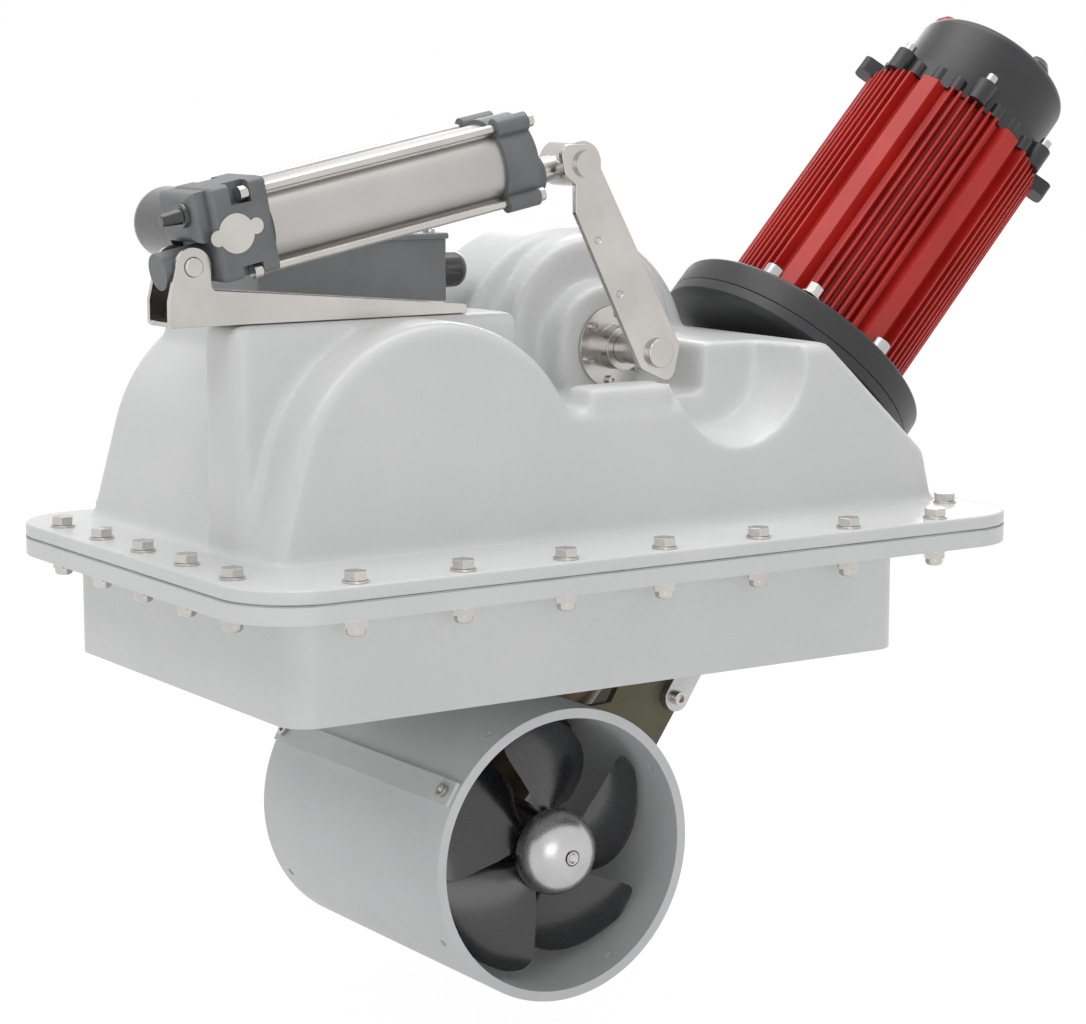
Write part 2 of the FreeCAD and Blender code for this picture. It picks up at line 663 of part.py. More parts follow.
def bar(points, halfWidth, thickness):
    """A flat bar with round ends along straight runs; local x is +X, local y is +Z."""
    pieces = []
    for (x1, y1), (x2, y2) in zip(points, points[1:]):
        run = math.hypot(x2 - x1, y2 - y1)
        middle = Part.makeBox(run, 2 * halfWidth, thickness, Vector(0, -halfWidth, 0))
        middle.rotate(Vector(0, 0, 0), Vector(0, 0, 1), math.degrees(math.atan2(y2 - y1, x2 - x1)))
        middle.translate(Vector(x1, y1, 0))
        pieces.append(middle)
    for x, y in points:
        pieces.append(Part.makeCylinder(halfWidth, thickness, Vector(x, y, 0)))
    return pieces[0].multiFuse(pieces[1:]).removeSplitter()


def bored(shape, holes):
    """The shape without round holes; each hole is (x, y, radius)."""
    for x, y, radius in holes:
        shape = shape.cut(Part.makeCylinder(radius, 400, Vector(x, y, -200)))
    return shape


def standing(shape, y):
    """Stands a flat shape up in side view, its face towards -Y at y minus its thickness."""
    shape = shape.copy()
    shape.Placement = upright(0, y, 0)
    return shape


# the shaft stays between the walls of the cover in front and of the trunk at the back
trunkFront = size.trunkMiddleY - size.trunkWidth / 2 + size.trunkWall
trunkBack = size.trunkMiddleY + size.trunkWidth / 2 - size.trunkWall
pivotFront = size.coverFront + size.coverWall + size.pivotEndGap
pivotBack = trunkBack - size.pivotEndGap
toTrunkBack = "Dim.trunkMiddleY + Dim.trunkWidth / 2 - Dim.trunkWall"
node(rod("PivotShaft", "Dim.pivotShaftRadius",
         toTrunkBack + " - Dim.coverFront - Dim.coverWall - 2 * Dim.pivotEndGap",
         facingBack(size.pivotX, pivotFront, size.pivotZ)), "pivot_shaft")


def pivotBrackets():
    """Two blocks on the inside of the trunk walls; each takes one end of the pivot shaft."""
    depth = size.pivotBracketDepth - size.pivotEndGap
    left, margin = size.pivotX - 100, size.coverWall + 0.5
    front, back = size.coverFront + margin, size.coverBack - margin
    relief = Part.makeBox(200, 4 * size.trunkWidth, 60, Vector(left, -2 * size.trunkWidth, -1))
    relief = relief.cut(Part.makeBox(200, back - front, 60, Vector(left, front, -1)))
    seat = Part.makeCylinder(size.pivotShaftRadius + size.runningFit, pivotBack - pivotFront,
                             Vector(size.pivotX, pivotFront, size.pivotZ), Vector(0, 1, 0))
    brackets = []
    for low, high in ((trunkFront, pivotFront + depth), (pivotBack - depth, trunkBack)):
        body = Part.makeBox(64, high - low, 60, Vector(size.pivotX - 32, low, size.pivotZ - 42))
        along = [e for e in body.Edges if abs(e.CenterOfMass.y - (low + high) / 2) < 1e-6]
        brackets.append(body.makeFillet(12, along).cut(seat).cut(relief))
    return brackets


node(group("PivotBrackets", pivotBrackets()), "pivot_brackets")
node(tube("PivotTube", "Dim.pivotTubeRadius", "Dim.pivotShaftRadius + Dim.runningFit", "Dim.pivotTubeLength",
          facingBack(size.pivotX, -size.pivotTubeLength / 2, size.pivotZ)), "pivot_tube")

tunnelSolid = cylinderY(size.tunnelRadius + size.seatGap, 400, size.hubX, -200, size.hubZ)


def cheek():
    """Side cheek: from the pivot tube, past the leg, down to a saddle on the tunnel."""
    corners = [(size.pivotX - 24, size.pivotZ + 24, 22), (size.pivotX - 46, size.pivotZ - 50, 12),
               (size.pivotX - 46, size.pivotZ - 86, 8), (size.armScrewX - 37, size.armScrewZ + 28, 0),
               (size.armScrewX - 53, size.armScrewZ + 2, 0),
               (size.armScrewX - 75, size.armScrewZ + 1, 2), (size.armScrewX - 75, size.armScrewZ - 48, 0),
               (size.armScrewX - 30, size.armScrewZ - 58, 0), (size.armScrewX + 6, size.armScrewZ - 6, 3),
               (size.armScrewX + 29, size.armScrewZ + 44, 12), (size.pivotX + 27, size.pivotZ - 40, 14),
               (size.pivotX + 24, size.pivotZ + 24, 22)]
    wire = Part.Wire([piece.toShape() for piece in outline(corners)])
    plate = Part.Face(wire).extrude(Vector(0, 0, size.cheekThickness))
    fit = size.runningFit
    return bored(plate, [(size.pivotX, size.pivotZ, size.pivotTubeRadius + fit),
                         (size.armScrewX, size.armScrewZ, size.armScrewRadius + fit)])


cheekFront = standing(cheek(), -size.cheekInner).cut(tunnelSolid)
cheekBack = standing(cheek(), size.cheekInner + size.cheekThickness).cut(tunnelSolid)
node(group("SwingCheeks", [cheekFront, cheekBack]), "swing_cheeks")


def arm():
    """Bent arm: from the pivot tube round the cheek's edge to its shoulder screw."""
    points = [(size.pivotX, size.pivotZ), (size.armElbowX, size.armElbowZ), (size.armScrewX, size.armScrewZ)]
    fit = size.runningFit
    boss = Part.makeCylinder(size.pivotTubeRadius + 9, size.armThickness, Vector(size.pivotX, size.pivotZ, 0))
    return bored(bar(points, size.armWidth / 2, size.armThickness).fuse(boss),
                 [(size.pivotX, size.pivotZ, size.pivotTubeRadius + fit),
                  (size.armScrewX, size.armScrewZ, size.armScrewRadius + fit)])


armOuter = size.cheekInner + size.cheekThickness + size.seatGap + size.armThickness
swingArms = [standing(arm(), -armOuter + size.armThickness), standing(arm(), armOuter)]
node(group("SwingArms", swingArms), "swing_arms")


# Linkage: a crank on the lever shaft, an equal one on the pivot tube, and a link between them.


def crank(hubHole, hubRadius):
    """A tapered crank with a boss and a crank pin; local origin at its shaft."""
    tipX = size.crankLength * cosine(size.crankAngle)
    tipY = size.crankLength * sine(size.crankAngle)
    body = bar([(0, 0), (tipX, tipY)], size.crankWidth / 2 - 3, size.crankThickness)
    body = body.fuse(Part.makeCylinder(hubRadius, size.crankThickness))
    reach = size.linkThickness + 2 * size.sideGap
    pin = Part.makeCylinder(size.linkPinRadius, reach, Vector(tipX, tipY, -reach))
    cap = Part.makeCylinder(size.linkPinRadius + 3, 3, Vector(tipX, tipY, -reach - 3))
    return bored(body, [(0, 0, hubHole)]).multiFuse([pin, cap])


crankBack = size.crankPlane + size.crankThickness / 2
leverCrank = node(solidOf("LeverCrank", crank(size.leverShaftRadius + size.runningFit, 18)), "lever_crank")
leverCrank.Placement = upright(size.leverX, crankBack, size.leverZ)
swingCrank = node(solidOf("SwingCrank", crank(size.pivotTubeRadius + size.runningFit, 20)), "swing_crank")
swingCrank.Placement = upright(size.pivotX, crankBack, size.pivotZ)


def couplingLink():
    """Straight link, as long as the lever shaft is from the pivot."""
    tipX = size.crankLength * cosine(size.crankAngle)
    tipY = size.crankLength * sine(size.crankAngle)
    ends = [(size.pivotX + tipX, size.pivotZ + tipY), (size.leverX + tipX, size.leverZ + tipY)]
    hole = size.linkPinRadius + size.runningFit
    return bored(bar(ends, size.crankWidth / 2 - 3, size.linkThickness), [(x, y, hole) for x, y in ends])


linkBack = crankBack + size.sideGap + size.linkThickness
node(solidOf("CouplingLink", standing(couplingLink(), linkBack)), "coupling_link")

# Leg and tunnel. The leg carries the bevel gears, the tunnel guides the water.


def gearLeg():
    """Cast leg: pod across, leg up the drive axis, square head that sits between the cheeks."""
    pod = cylinderY(size.podRadius, size.podLength, size.hubX, -size.podLength / 2, size.hubZ)
    ends = [e for e in pod.Edges if abs(abs(e.CenterOfMass.y) - size.podLength / 2) < 1e-6]
    pod = pod.makeFillet(5, ends)
    stem = Part.makeCylinder(size.legRadius, size.legTop)
    headHalf = size.cheekInner - size.seatGap
    head = Part.makeBox(2 * size.legHeadWidth, 2 * headHalf, size.legTop - 150,
                        Vector(-size.legHeadWidth, -headHalf, 150))
    leg = stem.fuse(head)
    inner = Part.makeCylinder(size.inputShaftRadius + size.runningFit, size.legTop + 20)
    for part in (leg, inner):
        part.Placement = drive(0)
    chamber = Part.makeSphere(size.gearChamber, Vector(size.hubX, 0, size.hubZ))
    across = Part.makeCylinder(size.propShaftRadius + size.runningFit, size.podLength + 20,
                               Vector(size.hubX, -size.podLength / 2 - 10, size.hubZ), Vector(0, 1, 0))
    return pod.fuse(leg).cut(inner).cut(across).cut(chamber)


def fromFront(x, y, z):
    """A local frame whose Z axis runs along -Y."""
    return place(x, y, z, (1, 0, 0), 90)


swingScrew = solidOf("SwingScrewMaster", capScrew(5, 5, size.armScrewRadius, size.swingScrewLength))
armScrewPlaces = [fromFront(size.armScrewX, -armOuter, size.armScrewZ),
                  facingBack(size.armScrewX, armOuter, size.armScrewZ)]
legScrewPlaces = []
for along in (170, 200):
    for across in (-16, 16):
        spot = drive(along, across).Base
        cheekFace = size.cheekInner + size.cheekThickness
        legScrewPlaces += [fromFront(spot.x, -cheekFace, spot.z), facingBack(spot.x, cheekFace, spot.z)]


legHoles = screwHoles(legScrewPlaces, size.armScrewRadius)
node(solidOf("GearLeg", gearLeg().cut(legHoles)), "gear_leg")
for piece in nodes:
    if piece.Label == "swing_cheeks":
        piece.Shape = Part.makeCompound([plate.cut(legHoles) for plate in piece.Shape.Solids])


def tunnelSpot(angle, y, radius=0.0):
    """A frame on the tunnel: local X points outwards at this angle above +X, local Y is +Y."""
    return place(size.hubX, y, size.hubZ, (0, 1, 0), -angle).multiply(place(radius))


def radial(angle, y, radius):
    """A frame on the tunnel whose local Z points outwards."""
    return tunnelSpot(angle, y, radius).multiply(place(0, 0, 0, (0, 1, 0), 90))


stripSeat = size.tunnelRadius + size.stripThickness
stripScrewPlaces = [radial(size.stripAngle, side * size.stripScrewY, stripSeat) for side in (-1, 1)]


def tunnelShell():
    where = (size.tunnelLength, size.hubX, -size.tunnelLength / 2, size.hubZ)
    shell = cylinderY(size.tunnelRadius, *where).cut(cylinderY(size.tunnelRadius - size.tunnelWall, *where))
    port = Part.makeCylinder(size.legRadius + size.seatGap, size.tunnelRadius + 10)
    port.Placement = drive(0)
    holes = []
    for quarter in range(4):
        for side in (-1, 1):
            hole = Part.makeCylinder(size.tunnelHole, 30)
            turn = size.tunnelHoleAngle + 90 * quarter
            hole.Placement = radial(turn, side * size.tunnelHoleY, size.tunnelRadius - 20)
            holes.append(hole)
    shell = shell.cut(port).cut(Part.makeCompound(holes))
    return shell.cut(screwHoles(stripScrewPlaces, size.stripScrewRadius))


node(solidOf("Tunnel", tunnelShell()), "tunnel")


def tunnelStrip():
    """Flat strip along the tunnel with a raised land near its front end."""
    half = size.stripWidth / 2
    reach = size.stripScrewY + 9
    root = size.tunnelRadius - 4
    bar = Part.makeBox(size.stripThickness + 4, 2 * reach, 2 * half, Vector(root, -reach, -half))
    land = Part.makeBox(size.stripThickness + 5.2, 12, 2 * half, Vector(root, 16 - reach, -half))
    strip = bar.fuse(land)
    strip.Placement = tunnelSpot(size.stripAngle, 0)
    return strip.cut(tunnelSolid).cut(screwHoles(stripScrewPlaces, size.stripScrewRadius))


node(solidOf("TunnelStrip", tunnelStrip()), "tunnel_strip")
stripGrip = size.stripThickness + size.tunnelWall + 4
stripScrew = solidOf("StripScrewMaster", capScrew(4.5, 3.5, size.stripScrewRadius, stripGrip))
stripNutHole = Part.makeCylinder(size.stripScrewRadius + size.runningFit, 10)
stripNut = solidOf("StripNutMaster", hexagon(9, 3.4).cut(stripNutHole))
nutFace = size.tunnelRadius - size.tunnelWall - 3.7
nutPlaces = [radial(size.stripAngle, side * size.stripScrewY, nutFace) for side in (-1, 1)]
swingScrews = copies(swingScrew, armScrewPlaces + legScrewPlaces)
swingScrews += copies(stripScrew, stripScrewPlaces) + copies(stripNut, nutPlaces)
node(group("SwingScrews", swingScrews), "swing_screws")

# Gears, shafts and the two propellers, which turn opposite ways.


def gearCone(start, finish, clearance):
    """A bevel gear as a smooth cone on its own pitch surface, less a clearance."""
    return Part.makeCone(start - clearance, finish - clearance, finish - start, Vector(0, 0, start))


def shaftWithGear(radius, length):
    gear = gearCone(size.gearFront, size.gearBack, size.gearClearance)
    return gear.fuse(Part.makeCylinder(radius, length - size.gearBack, Vector(0, 0, size.gearBack)))


inputShaft = solidOf("InputShaft", shaftWithGear(size.inputShaftRadius, size.clutchFace - 12))
node(inputShaft, "input_shaft").Placement = drive(0)

# each blade station: radius, chord, pitch angle and skew angle
bladeStations = [(14, 24, 54, 0), (30, 40, 36, 0), (50, 58, 25, 4),
                 (68, 62, 20, 10), (80, 46, 17, 16), (87, 14, 16, 21)]


def bladeSection(radius, chord, pitch, skew, hand):
    """Lens section of one blade: chord along the pitch, thinner towards the tip."""
    thickness = 5.2 - 3.6 * radius / size.bladeTip
    half = chord / 2
    nose, tail = Vector(-half, 0, 0), Vector(half, 0, 0)
    upper = Part.Arc(nose, Vector(0, thickness * 1.2, 0), tail).toShape()
    lower = Part.Arc(tail, Vector(0, thickness * 0.2, 0), nose).toShape()
    wire = Part.Wire([upper, lower])
    # local X becomes the span, the chord lies between the turning direction and the axis
    frame = Placement(Vector(radius, 0, 0), Rotation(Vector(0, 1, 0), 90)).multiply(
        place(0, 0, 0, (0, 0, 1), 90 + hand * pitch))
    wire.Placement = place(0, 0, 0, (0, 0, 1), hand * skew).multiply(frame)
    return wire


def propeller(hand):
    """Five-bladed propeller; its shaft lies on local Z and its blades stand at the propeller plane."""
    sections = [bladeSection(*station, hand) for station in bladeStations]
    blade = Part.makeLoft(sections, True, False)
    hubStart = size.podLength / 2 + 2.5
    hubEnd = size.propPlane + size.hubLength / 2
    hub = Part.makeCone(size.hubRadius + 6, size.hubRadius + 1, hubEnd - hubStart, Vector(0, 0, hubStart))
    blades = []
    for step in range(5):
        one = blade.copy()
        one.translate(Vector(0, 0, size.propPlane))
        one.rotate(Vector(0, 0, 0), Vector(0, 0, 1), size.bladeAngle + 72 * step)
        blades.append(one)
    whole = hub.multiFuse(blades)
    return whole.cut(Part.makeCylinder(size.propShaftRadius + size.runningFit, 200))


def coneHalf(length):
    """Half outline of a nose cone with a recess for its screw."""
    base = size.propPlane + size.hubLength / 2
    tip = base + length
    radius = size.noseConeRadius
    curve = Part.Arc(Vector(radius, base + 3, 0), Vector(radius * 0.78, base + 0.72 * length, 0),
                     Vector(9, tip, 0))
    bore = size.propShaftRadius + size.runningFit
    points = [Vector(9, tip, 0), Vector(5, tip, 0), Vector(5, tip - 5, 0), Vector(0, tip - 5, 0),
              Vector(0, tip - 9, 0), Vector(bore, tip - 9, 0), Vector(bore, base, 0), Vector(radius, base, 0),
              Vector(radius, base + 3, 0)]
    return [curve] + [Part.LineSegment(a, b) for a, b in zip(points, points[1:])]


# the rear cone is blunt, so that it clears the trunk's back wall as the tunnel swings in
ends = ((1, "front", fromFront(size.hubX, 0, size.hubZ), size.noseConeLength),
        (-1, "rear", facingBack(size.hubX, 0, size.hubZ), size.rearConeLength))
for side, name, where, coneLength in ends:
    propReach = size.propPlane + size.hubLength / 2 + coneLength - 9.5
    shaft = node(solidOf(name.title() + "Shaft", shaftWithGear(size.propShaftRadius, propReach)),
                 name + "_propeller_shaft")
    blades = node(solidOf(name.title() + "Propeller", propeller(side)), name + "_propeller")
    for piece in (shaft, blades):
        piece.Placement = where
    node(turned(name.title() + "Cone", coneHalf(coneLength), where), name + "_nose_cone")

# Lever outside the cover: two plates on the lever shaft, apart from each other by spacers.

leverFront = size.leverPlane - size.leverGap / 2 - size.leverPlate
leverBack = size.leverPlane + size.leverGap / 2
pinX = size.leverX + size.leverLength * sine(size.leverLean)
pinZ = size.leverZ + size.leverLength * cosine(size.leverLean)
leverSpots = [(0.40, 4), (0.69, 4)]


def alongLever(fraction):
    return (size.leverX + (pinX - size.leverX) * fraction, size.leverZ + (pinZ - size.leverZ) * fraction)


def leverPlate():
    """Lever plate: broad at the shaft, cranked neck and eye at the rod pin."""
    foot, head, half = size.leverFoot, size.leverLength + size.leverHead, size.leverHalfWidth
    # each corner: how far up the lever, how far across it, and its rounding
    marks = [(head, -13, 9), (head - 9.7, 7.8, 9), (head - 22.5, 9.2, 6),
             (-3.8, half + 0.6, 12), (-foot, 1.4, 10), (-3.4, 0.5 - half, 12),
             (head - 46.1, -half - 3, 5), (head - 28.7, -12.8, 3), (head - 19.8, -half - 0.1, 6)]
    corners = [(size.leverX + up * sine(size.leverLean) + over * cosine(size.leverLean),
                size.leverZ + up * cosine(size.leverLean) - over * sine(size.leverLean), rounding)
               for up, over, rounding in marks]
    wire = Part.Wire([piece.toShape() for piece in outline(corners)])
    plate = Part.Face(wire).extrude(Vector(0, 0, size.leverPlate))
    holes = [(size.leverX, size.leverZ, size.leverShaftRadius + size.runningFit),
             (pinX, pinZ, size.linkPinRadius + size.runningFit)]
    holes += [alongLever(fraction) + (radius / 2 + size.runningFit,) for fraction, radius in leverSpots]
    return bored(plate, holes)


node(group("LeverPlates", [standing(leverPlate(), leverFront + size.leverPlate),
                           standing(leverPlate(), leverBack + size.leverPlate)]), "lever_plates")
node(rod("LeverShaft", "Dim.leverShaftRadius",
         "Dim.crankPlane + Dim.crankThickness / 2 - Dim.leverShaftFront",
         facingBack(size.leverX, size.leverShaftFront, size.leverZ)), "lever_shaft")


def leverSpacer(x, z, radius):
    """Spacer tube with its through screw and a head outside each plate."""
    start = leverFront + size.leverPlate
    tubePart = cylinderY(radius + 1, size.leverGap, x, start, z)
    screw = cylinderY(radius / 2, size.leverGap + 2 * size.leverPlate, x, leverFront, z)
    heads = [cylinderY(radius, 3, x, leverFront - 3, z),
             cylinderY(radius, 3, x, leverBack + size.leverPlate, z)]
    return tubePart.multiFuse([screw] + heads)


node(group("LeverSpacers", [leverSpacer(*alongLever(fraction), radius) for fraction, radius in leverSpots]),
     "lever_spacers")


def rodPins():
    """Two pin halves; the rod eye sits between them, where the linkage is opened."""
    halves = []
    for side, face in ((-1, leverFront), (1, leverBack)):
        stub = cylinderY(size.linkPinRadius, size.leverPlate, pinX, face, pinZ)
        start = face - 3 if side < 0 else face + size.leverPlate
        halves.append(stub.fuse(cylinderY(size.linkPinRadius + 3, 3, pinX, start, pinZ)))
    return halves


node(group("RodPins", rodPins()), "rod_pins")


def leverBush():
    """Flanged bush through the cover; it carries the lever shaft."""
    seat = size.noseFront
    x, z, radius = size.leverX, size.leverZ, size.leverShaftRadius
    collarStart = leverBack + size.leverPlate + size.sideGap
    flange = cylinderY(size.bushFlange, 3, x, seat - 3, z)
    collar = cylinderY(radius + 5, seat - collarStart, x, collarStart, z)
    sleeve = cylinderY(radius + 8 - size.seatGap, size.bushEnd - seat, x, seat, z)
    hole = cylinderY(radius + size.runningFit, 200, x, seat - 80, z)
    return flange.multiFuse([collar, sleeve]).cut(hole)


bushStudPlaces = [fromFront(size.leverX + 23 * cosine(a), size.noseFront - 3, size.leverZ + 23 * sine(a))
                  for a in range(20, 380, 60)]
node(solidOf("LeverBush", leverBush().cut(screwHoles(bushStudPlaces, 2))), "lever_bush")
studScrew = solidOf("BushStudMaster", capScrew(3.2, 3, 2, 2.9))
node(group("BushStuds", copies(studScrew, bushStudPlaces)), "bush_studs")

# Actuator on its bracket. Local x runs from the bracket pin to the rod pin, local z square to it.

actuatorLean = math.degrees(math.atan2(pinZ - size.bracketPinZ, pinX - size.bracketPinX))
actuatorReach = math.hypot(pinZ - size.bracketPinZ, pinX - size.bracketPinX)


def actuator(x=0.0, y=0.0, z=0.0):
    base = place(size.bracketPinX, size.leverPlane, size.bracketPinZ, (0, 1, 0), -actuatorLean)
    return base.multiply(place(x, y, z))


def alongActuator(x, y, z):
    """A frame whose local Z runs along the actuator."""
    return actuator(x, y, z).multiply(place(0, 0, 0, (0, 1, 0), 90))


def bracketShape():
    """Channel bent up from plate: two cheeks with a tab round the pin, and a floor."""
    bottom = size.platformTop
    x, z = size.bracketPinX, size.bracketPinZ
    reach = x + size.bracketReach
    corners = [(x - 17, bottom, 3), (x - 17, bottom + 16, 6), (x - 12, z, 0), (x - 12, z + 12, 11.9),
               (x + 12, z + 12, 11.9), (x + 12, z - 14.5, 4), (reach, bottom + 5.5, 2), (reach, bottom, 0)]
    wire = Part.Wire([piece.toShape() for piece in outline(corners)])
    plate = Part.Face(wire).extrude(Vector(0, 0, size.bracketPlate))
    plate = bored(plate, [(x, z, size.bracketPinRadius + size.runningFit)])
    half = size.bracketWidth / 2
    front = standing(plate, size.leverPlane - half + size.bracketPlate)
    back = standing(plate, size.leverPlane + half)
    floor = Part.makeBox(size.bracketReach + 14, size.bracketWidth, size.bracketPlate,
                         Vector(x - 14, size.leverPlane - half, bottom))
    return front.multiFuse([back, floor])


node(solidOf("Bracket", bracketShape()), "actuator_bracket")
bracketPinFront = size.leverPlane - size.bracketWidth / 2 - 2
node(rod("BracketPin", "Dim.bracketPinRadius", "Dim.bracketWidth + 4",
         facingBack(size.bracketPinX, bracketPinFront, size.bracketPinZ)), "bracket_pin")


def gearHousing():
    """Cast gear housing: block, rear shell, lug on the bracket pin, corner notches and a bare badge pad."""
    half, bottom, top = size.housingHalfWidth, size.housingBottom, size.housingTop
    start, finish = size.housingStart, size.barrelStart
    main = Part.makeBox(finish - start, 2 * half, top - bottom, Vector(start, -half, bottom))
    main = main.makeFillet(4, [e for e in main.Edges if e.CenterOfMass.x < finish - 1])
    shell = Part.makeBox(start + 6, 2 * half - 8, top - 14, Vector(2, -half + 6, 13))
    shell = shell.makeFillet(7, [e for e in shell.Edges if e.CenterOfMass.x < 3])
    lug = Part.makeCylinder(11.5, start + 22, Vector(-17, 0, 0), Vector(1, 0, 0))
    badge = [cylinderY(radius, 1, x, -half - 0.8, z)
             for x, z, radius in ((27.6, 15, 12.2), (14.9, 14.6, 5), (41.6, 16.6, 5))]
    housing = main.multiFuse([shell, lug] + badge)
    notches = []
    for sideY in (-1, 1):
        for sideZ in (-1, 1):
            y = sideY * size.tieRodReach
            z = size.barrelLift + sideZ * size.tieRodHeight
            low = [min(middle - 5.5 * side, middle + 8.5 * side) for middle, side in ((y, sideY), (z, sideZ))]
            notches.append(Part.makeBox(14, 14, 14, Vector(finish - 25, *low)))
            notches.append(cylinderX(size.tieRodRadius + size.runningFit, 40, finish - 25, y, z))
    pinHole = cylinderY(size.bracketPinRadius + size.runningFit, 60, 0, -30, 0)
    bore = cylinderX(12, 30, finish - 20, 0, size.barrelLift)
    return housing.cut(Part.makeCompound(notches)).cut(pinHole).cut(bore)


housing = node(solidOf("GearHousing", gearHousing()), "gear_housing")
housing.Placement = actuator()


def gearMotorHalf():
    """Half outline of the gear motor's can, domed at its free end."""
    radius, length = size.gearMotorRadius, size.gearMotorLength
    return outline([(0, 0, 0), (radius, 0, 0), (radius, length, 14), (0, length, 0)])


motorSeat = actuator(size.gearMotorX, size.housingHalfWidth, size.gearMotorZ)
node(turned("GearMotor", gearMotorHalf(), motorSeat.multiply(place(0, 0, 0, (1, 0, 0), -90))), "gear_motor")


def cableHalf():
    return outline([(0, 0, 0), (7.5, 0, 0), (7.5, 3, 1), (5, 3, 0), (3.6, 16, 0.5), (0, 16, 0)])


outletSeat = actuator(2, -12, 31.5)
node(turned("CableOutlet", cableHalf(), outletSeat.multiply(place(0, 0, 0, (0, 1, 0), -90))), "cable_outlet")
node(tube("Barrel", "Dim.barrelRadius", "Dim.barrelRadius - Dim.barrelWall",
          "Dim.barrelEnd - Dim.barrelStart",
          alongActuator(size.barrelStart, 0, size.barrelLift)), "actuator_barrel")
headEnd = size.barrelEnd + size.headLength
tieSpots = [(sideY * size.tieRodReach, size.barrelLift + sideZ * size.tieRodHeight)
            for sideY, sideZ in aroundCorners]


def tieRod():
    """Tie rod with a collar nut at each end; local z runs along the actuator."""
    start = size.barrelStart - 17
    length = headEnd - start + 5
    rear = Part.makeCylinder(4.6, 5.8)
    front = Part.makeCylinder(4.6, 5, Vector(0, 0, length - 5))
    return Part.makeCylinder(size.tieRodRadius, length).multiFuse([rear, front])


tieMaster = solidOf("TieRodMaster", tieRod())
tiePlaces = [alongActuator(size.barrelStart - 17, y, z) for y, z in tieSpots]
node(group("TieRods", copies(tieMaster, tiePlaces)), "tie_rods")


def actuatorHead():
    """Front head: a disc with a lug for each tie rod and a boss round the rod."""
    start, length = size.barrelEnd, size.headLength
    disc = cylinderX(size.barrelRadius + 3, length, start, 0, size.barrelLift)
    lugs = [cylinderX(6.4, length, start, y, z) for y, z in tieSpots]
    boss = cylinderX(size.rodRadius + 5.5, length + size.headBoss, start, 0, 0)
    holes = [cylinderX(size.tieRodRadius + size.runningFit, 60, start - 10, y, z) for y, z in tieSpots]
    bore = cylinderX(size.rodRadius + size.runningFit, 100, start - 10, 0, 0)
    return disc.multiFuse(lugs + [boss]).cut(Part.makeCompound(holes)).cut(bore)


head = node(solidOf("ActuatorHead", actuatorHead()), "actuator_head")
head.Placement = actuator()


def actuatorRod():
    """Plunger rod with its eye; the eye's hole takes the lever's pin."""
    stem = cylinderX(size.rodRadius, actuatorReach - size.rodStart, size.rodStart, 0, 0)
    width = size.leverGap - 2 * size.sideGap
    eye = cylinderY(size.rodEyeRadius, width, actuatorReach, -width / 2, 0)
    hole = cylinderY(size.linkPinRadius + size.runningFit, 60, actuatorReach, -30, 0)
    return stem.fuse(eye).cut(hole)


plunger = node(solidOf("ActuatorRod", actuatorRod()), "actuator_rod")
plunger.Placement = actuator()

# Control box on the cover's platform.

boxLength = size.controlRight - size.controlLeft
boxWidth = size.controlBack - size.controlFront


def controlBox():
    wall = size.controlWall
    corner = Vector(size.controlLeft, size.controlFront, size.platformTop)
    body = Part.makeBox(boxLength, boxWidth, size.controlHeight, corner)
    middle = size.platformTop + size.controlHeight / 2
    body = body.makeFillet(3, [e for e in body.Edges if abs(e.CenterOfMass.z - middle) < 1])
    hollow = Part.makeBox(boxLength - 2 * wall, boxWidth - 2 * wall, size.controlHeight,
                          corner + Vector(wall, wall, wall))
    return body.cut(hollow)


node(solidOf("ControlBox", controlBox()), "control_box")


def controlLid():
    top = size.platformTop + size.controlHeight
    lid = Part.makeBox(boxLength + 2, boxWidth + 2, size.lidThickness,
                       Vector(size.controlLeft - 1, size.controlFront - 1, top))
    return lid.makeFillet(1.5, [e for e in lid.Edges if e.CenterOfMass.z > top + 1])


lidTop = size.platformTop + size.controlHeight + size.lidThickness
lidScrewPlaces = [place(x, y, lidTop) for x in (size.controlLeft + 9, size.controlRight - 9)
                  for y in (size.controlFront + 9, size.controlBack - 9)]
lidScrew = solidOf("LidScrewMaster", capScrew(4, 2.5, 2, size.lidThickness))
node(solidOf("ControlLid", controlLid().cut(screwHoles(lidScrewPlaces, 2))), "control_lid")
node(group("ControlScrews", copies(lidScrew, lidScrewPlaces)), "control_screws")


def glandHalf():
    return outline([(0, 0, 0), (size.glandRadius, 0, 0), (size.glandRadius, 20, 8), (0, 20, 0)])


glandSeat = place(size.controlRight, size.controlFront + 14, size.platformTop + 20.3, (0, 1, 0), 90)
node(turned("ControlGland", glandHalf(), glandSeat), "control_gland")

# Every object is checked before any file is written.

doc.recompute()
for thing in doc.Objects:
    if "Invalid" in thing.State or "Error" in thing.State:
        raise RuntimeError("%s failed to build" % thing.Name)
for thing in nodes:
    shape = thing.Shape
    if shape.isNull() or not shape.isValid() or not shape.Solids:
        raise RuntimeError("%s has no valid solid" % thing.Label)

os.makedirs("parts", exist_ok=True)
for thing in nodes:
    thing.Shape.exportStep(os.path.join("parts", thing.Label + ".step"))
    print("%-26s %3d solids %10.1f cm3" % (thing.Label, len(thing.Shape.Solids), thing.Shape.Volume / 1000))
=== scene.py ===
import json
import math
import bmesh
import bpy
from mathutils import Matrix, Vector


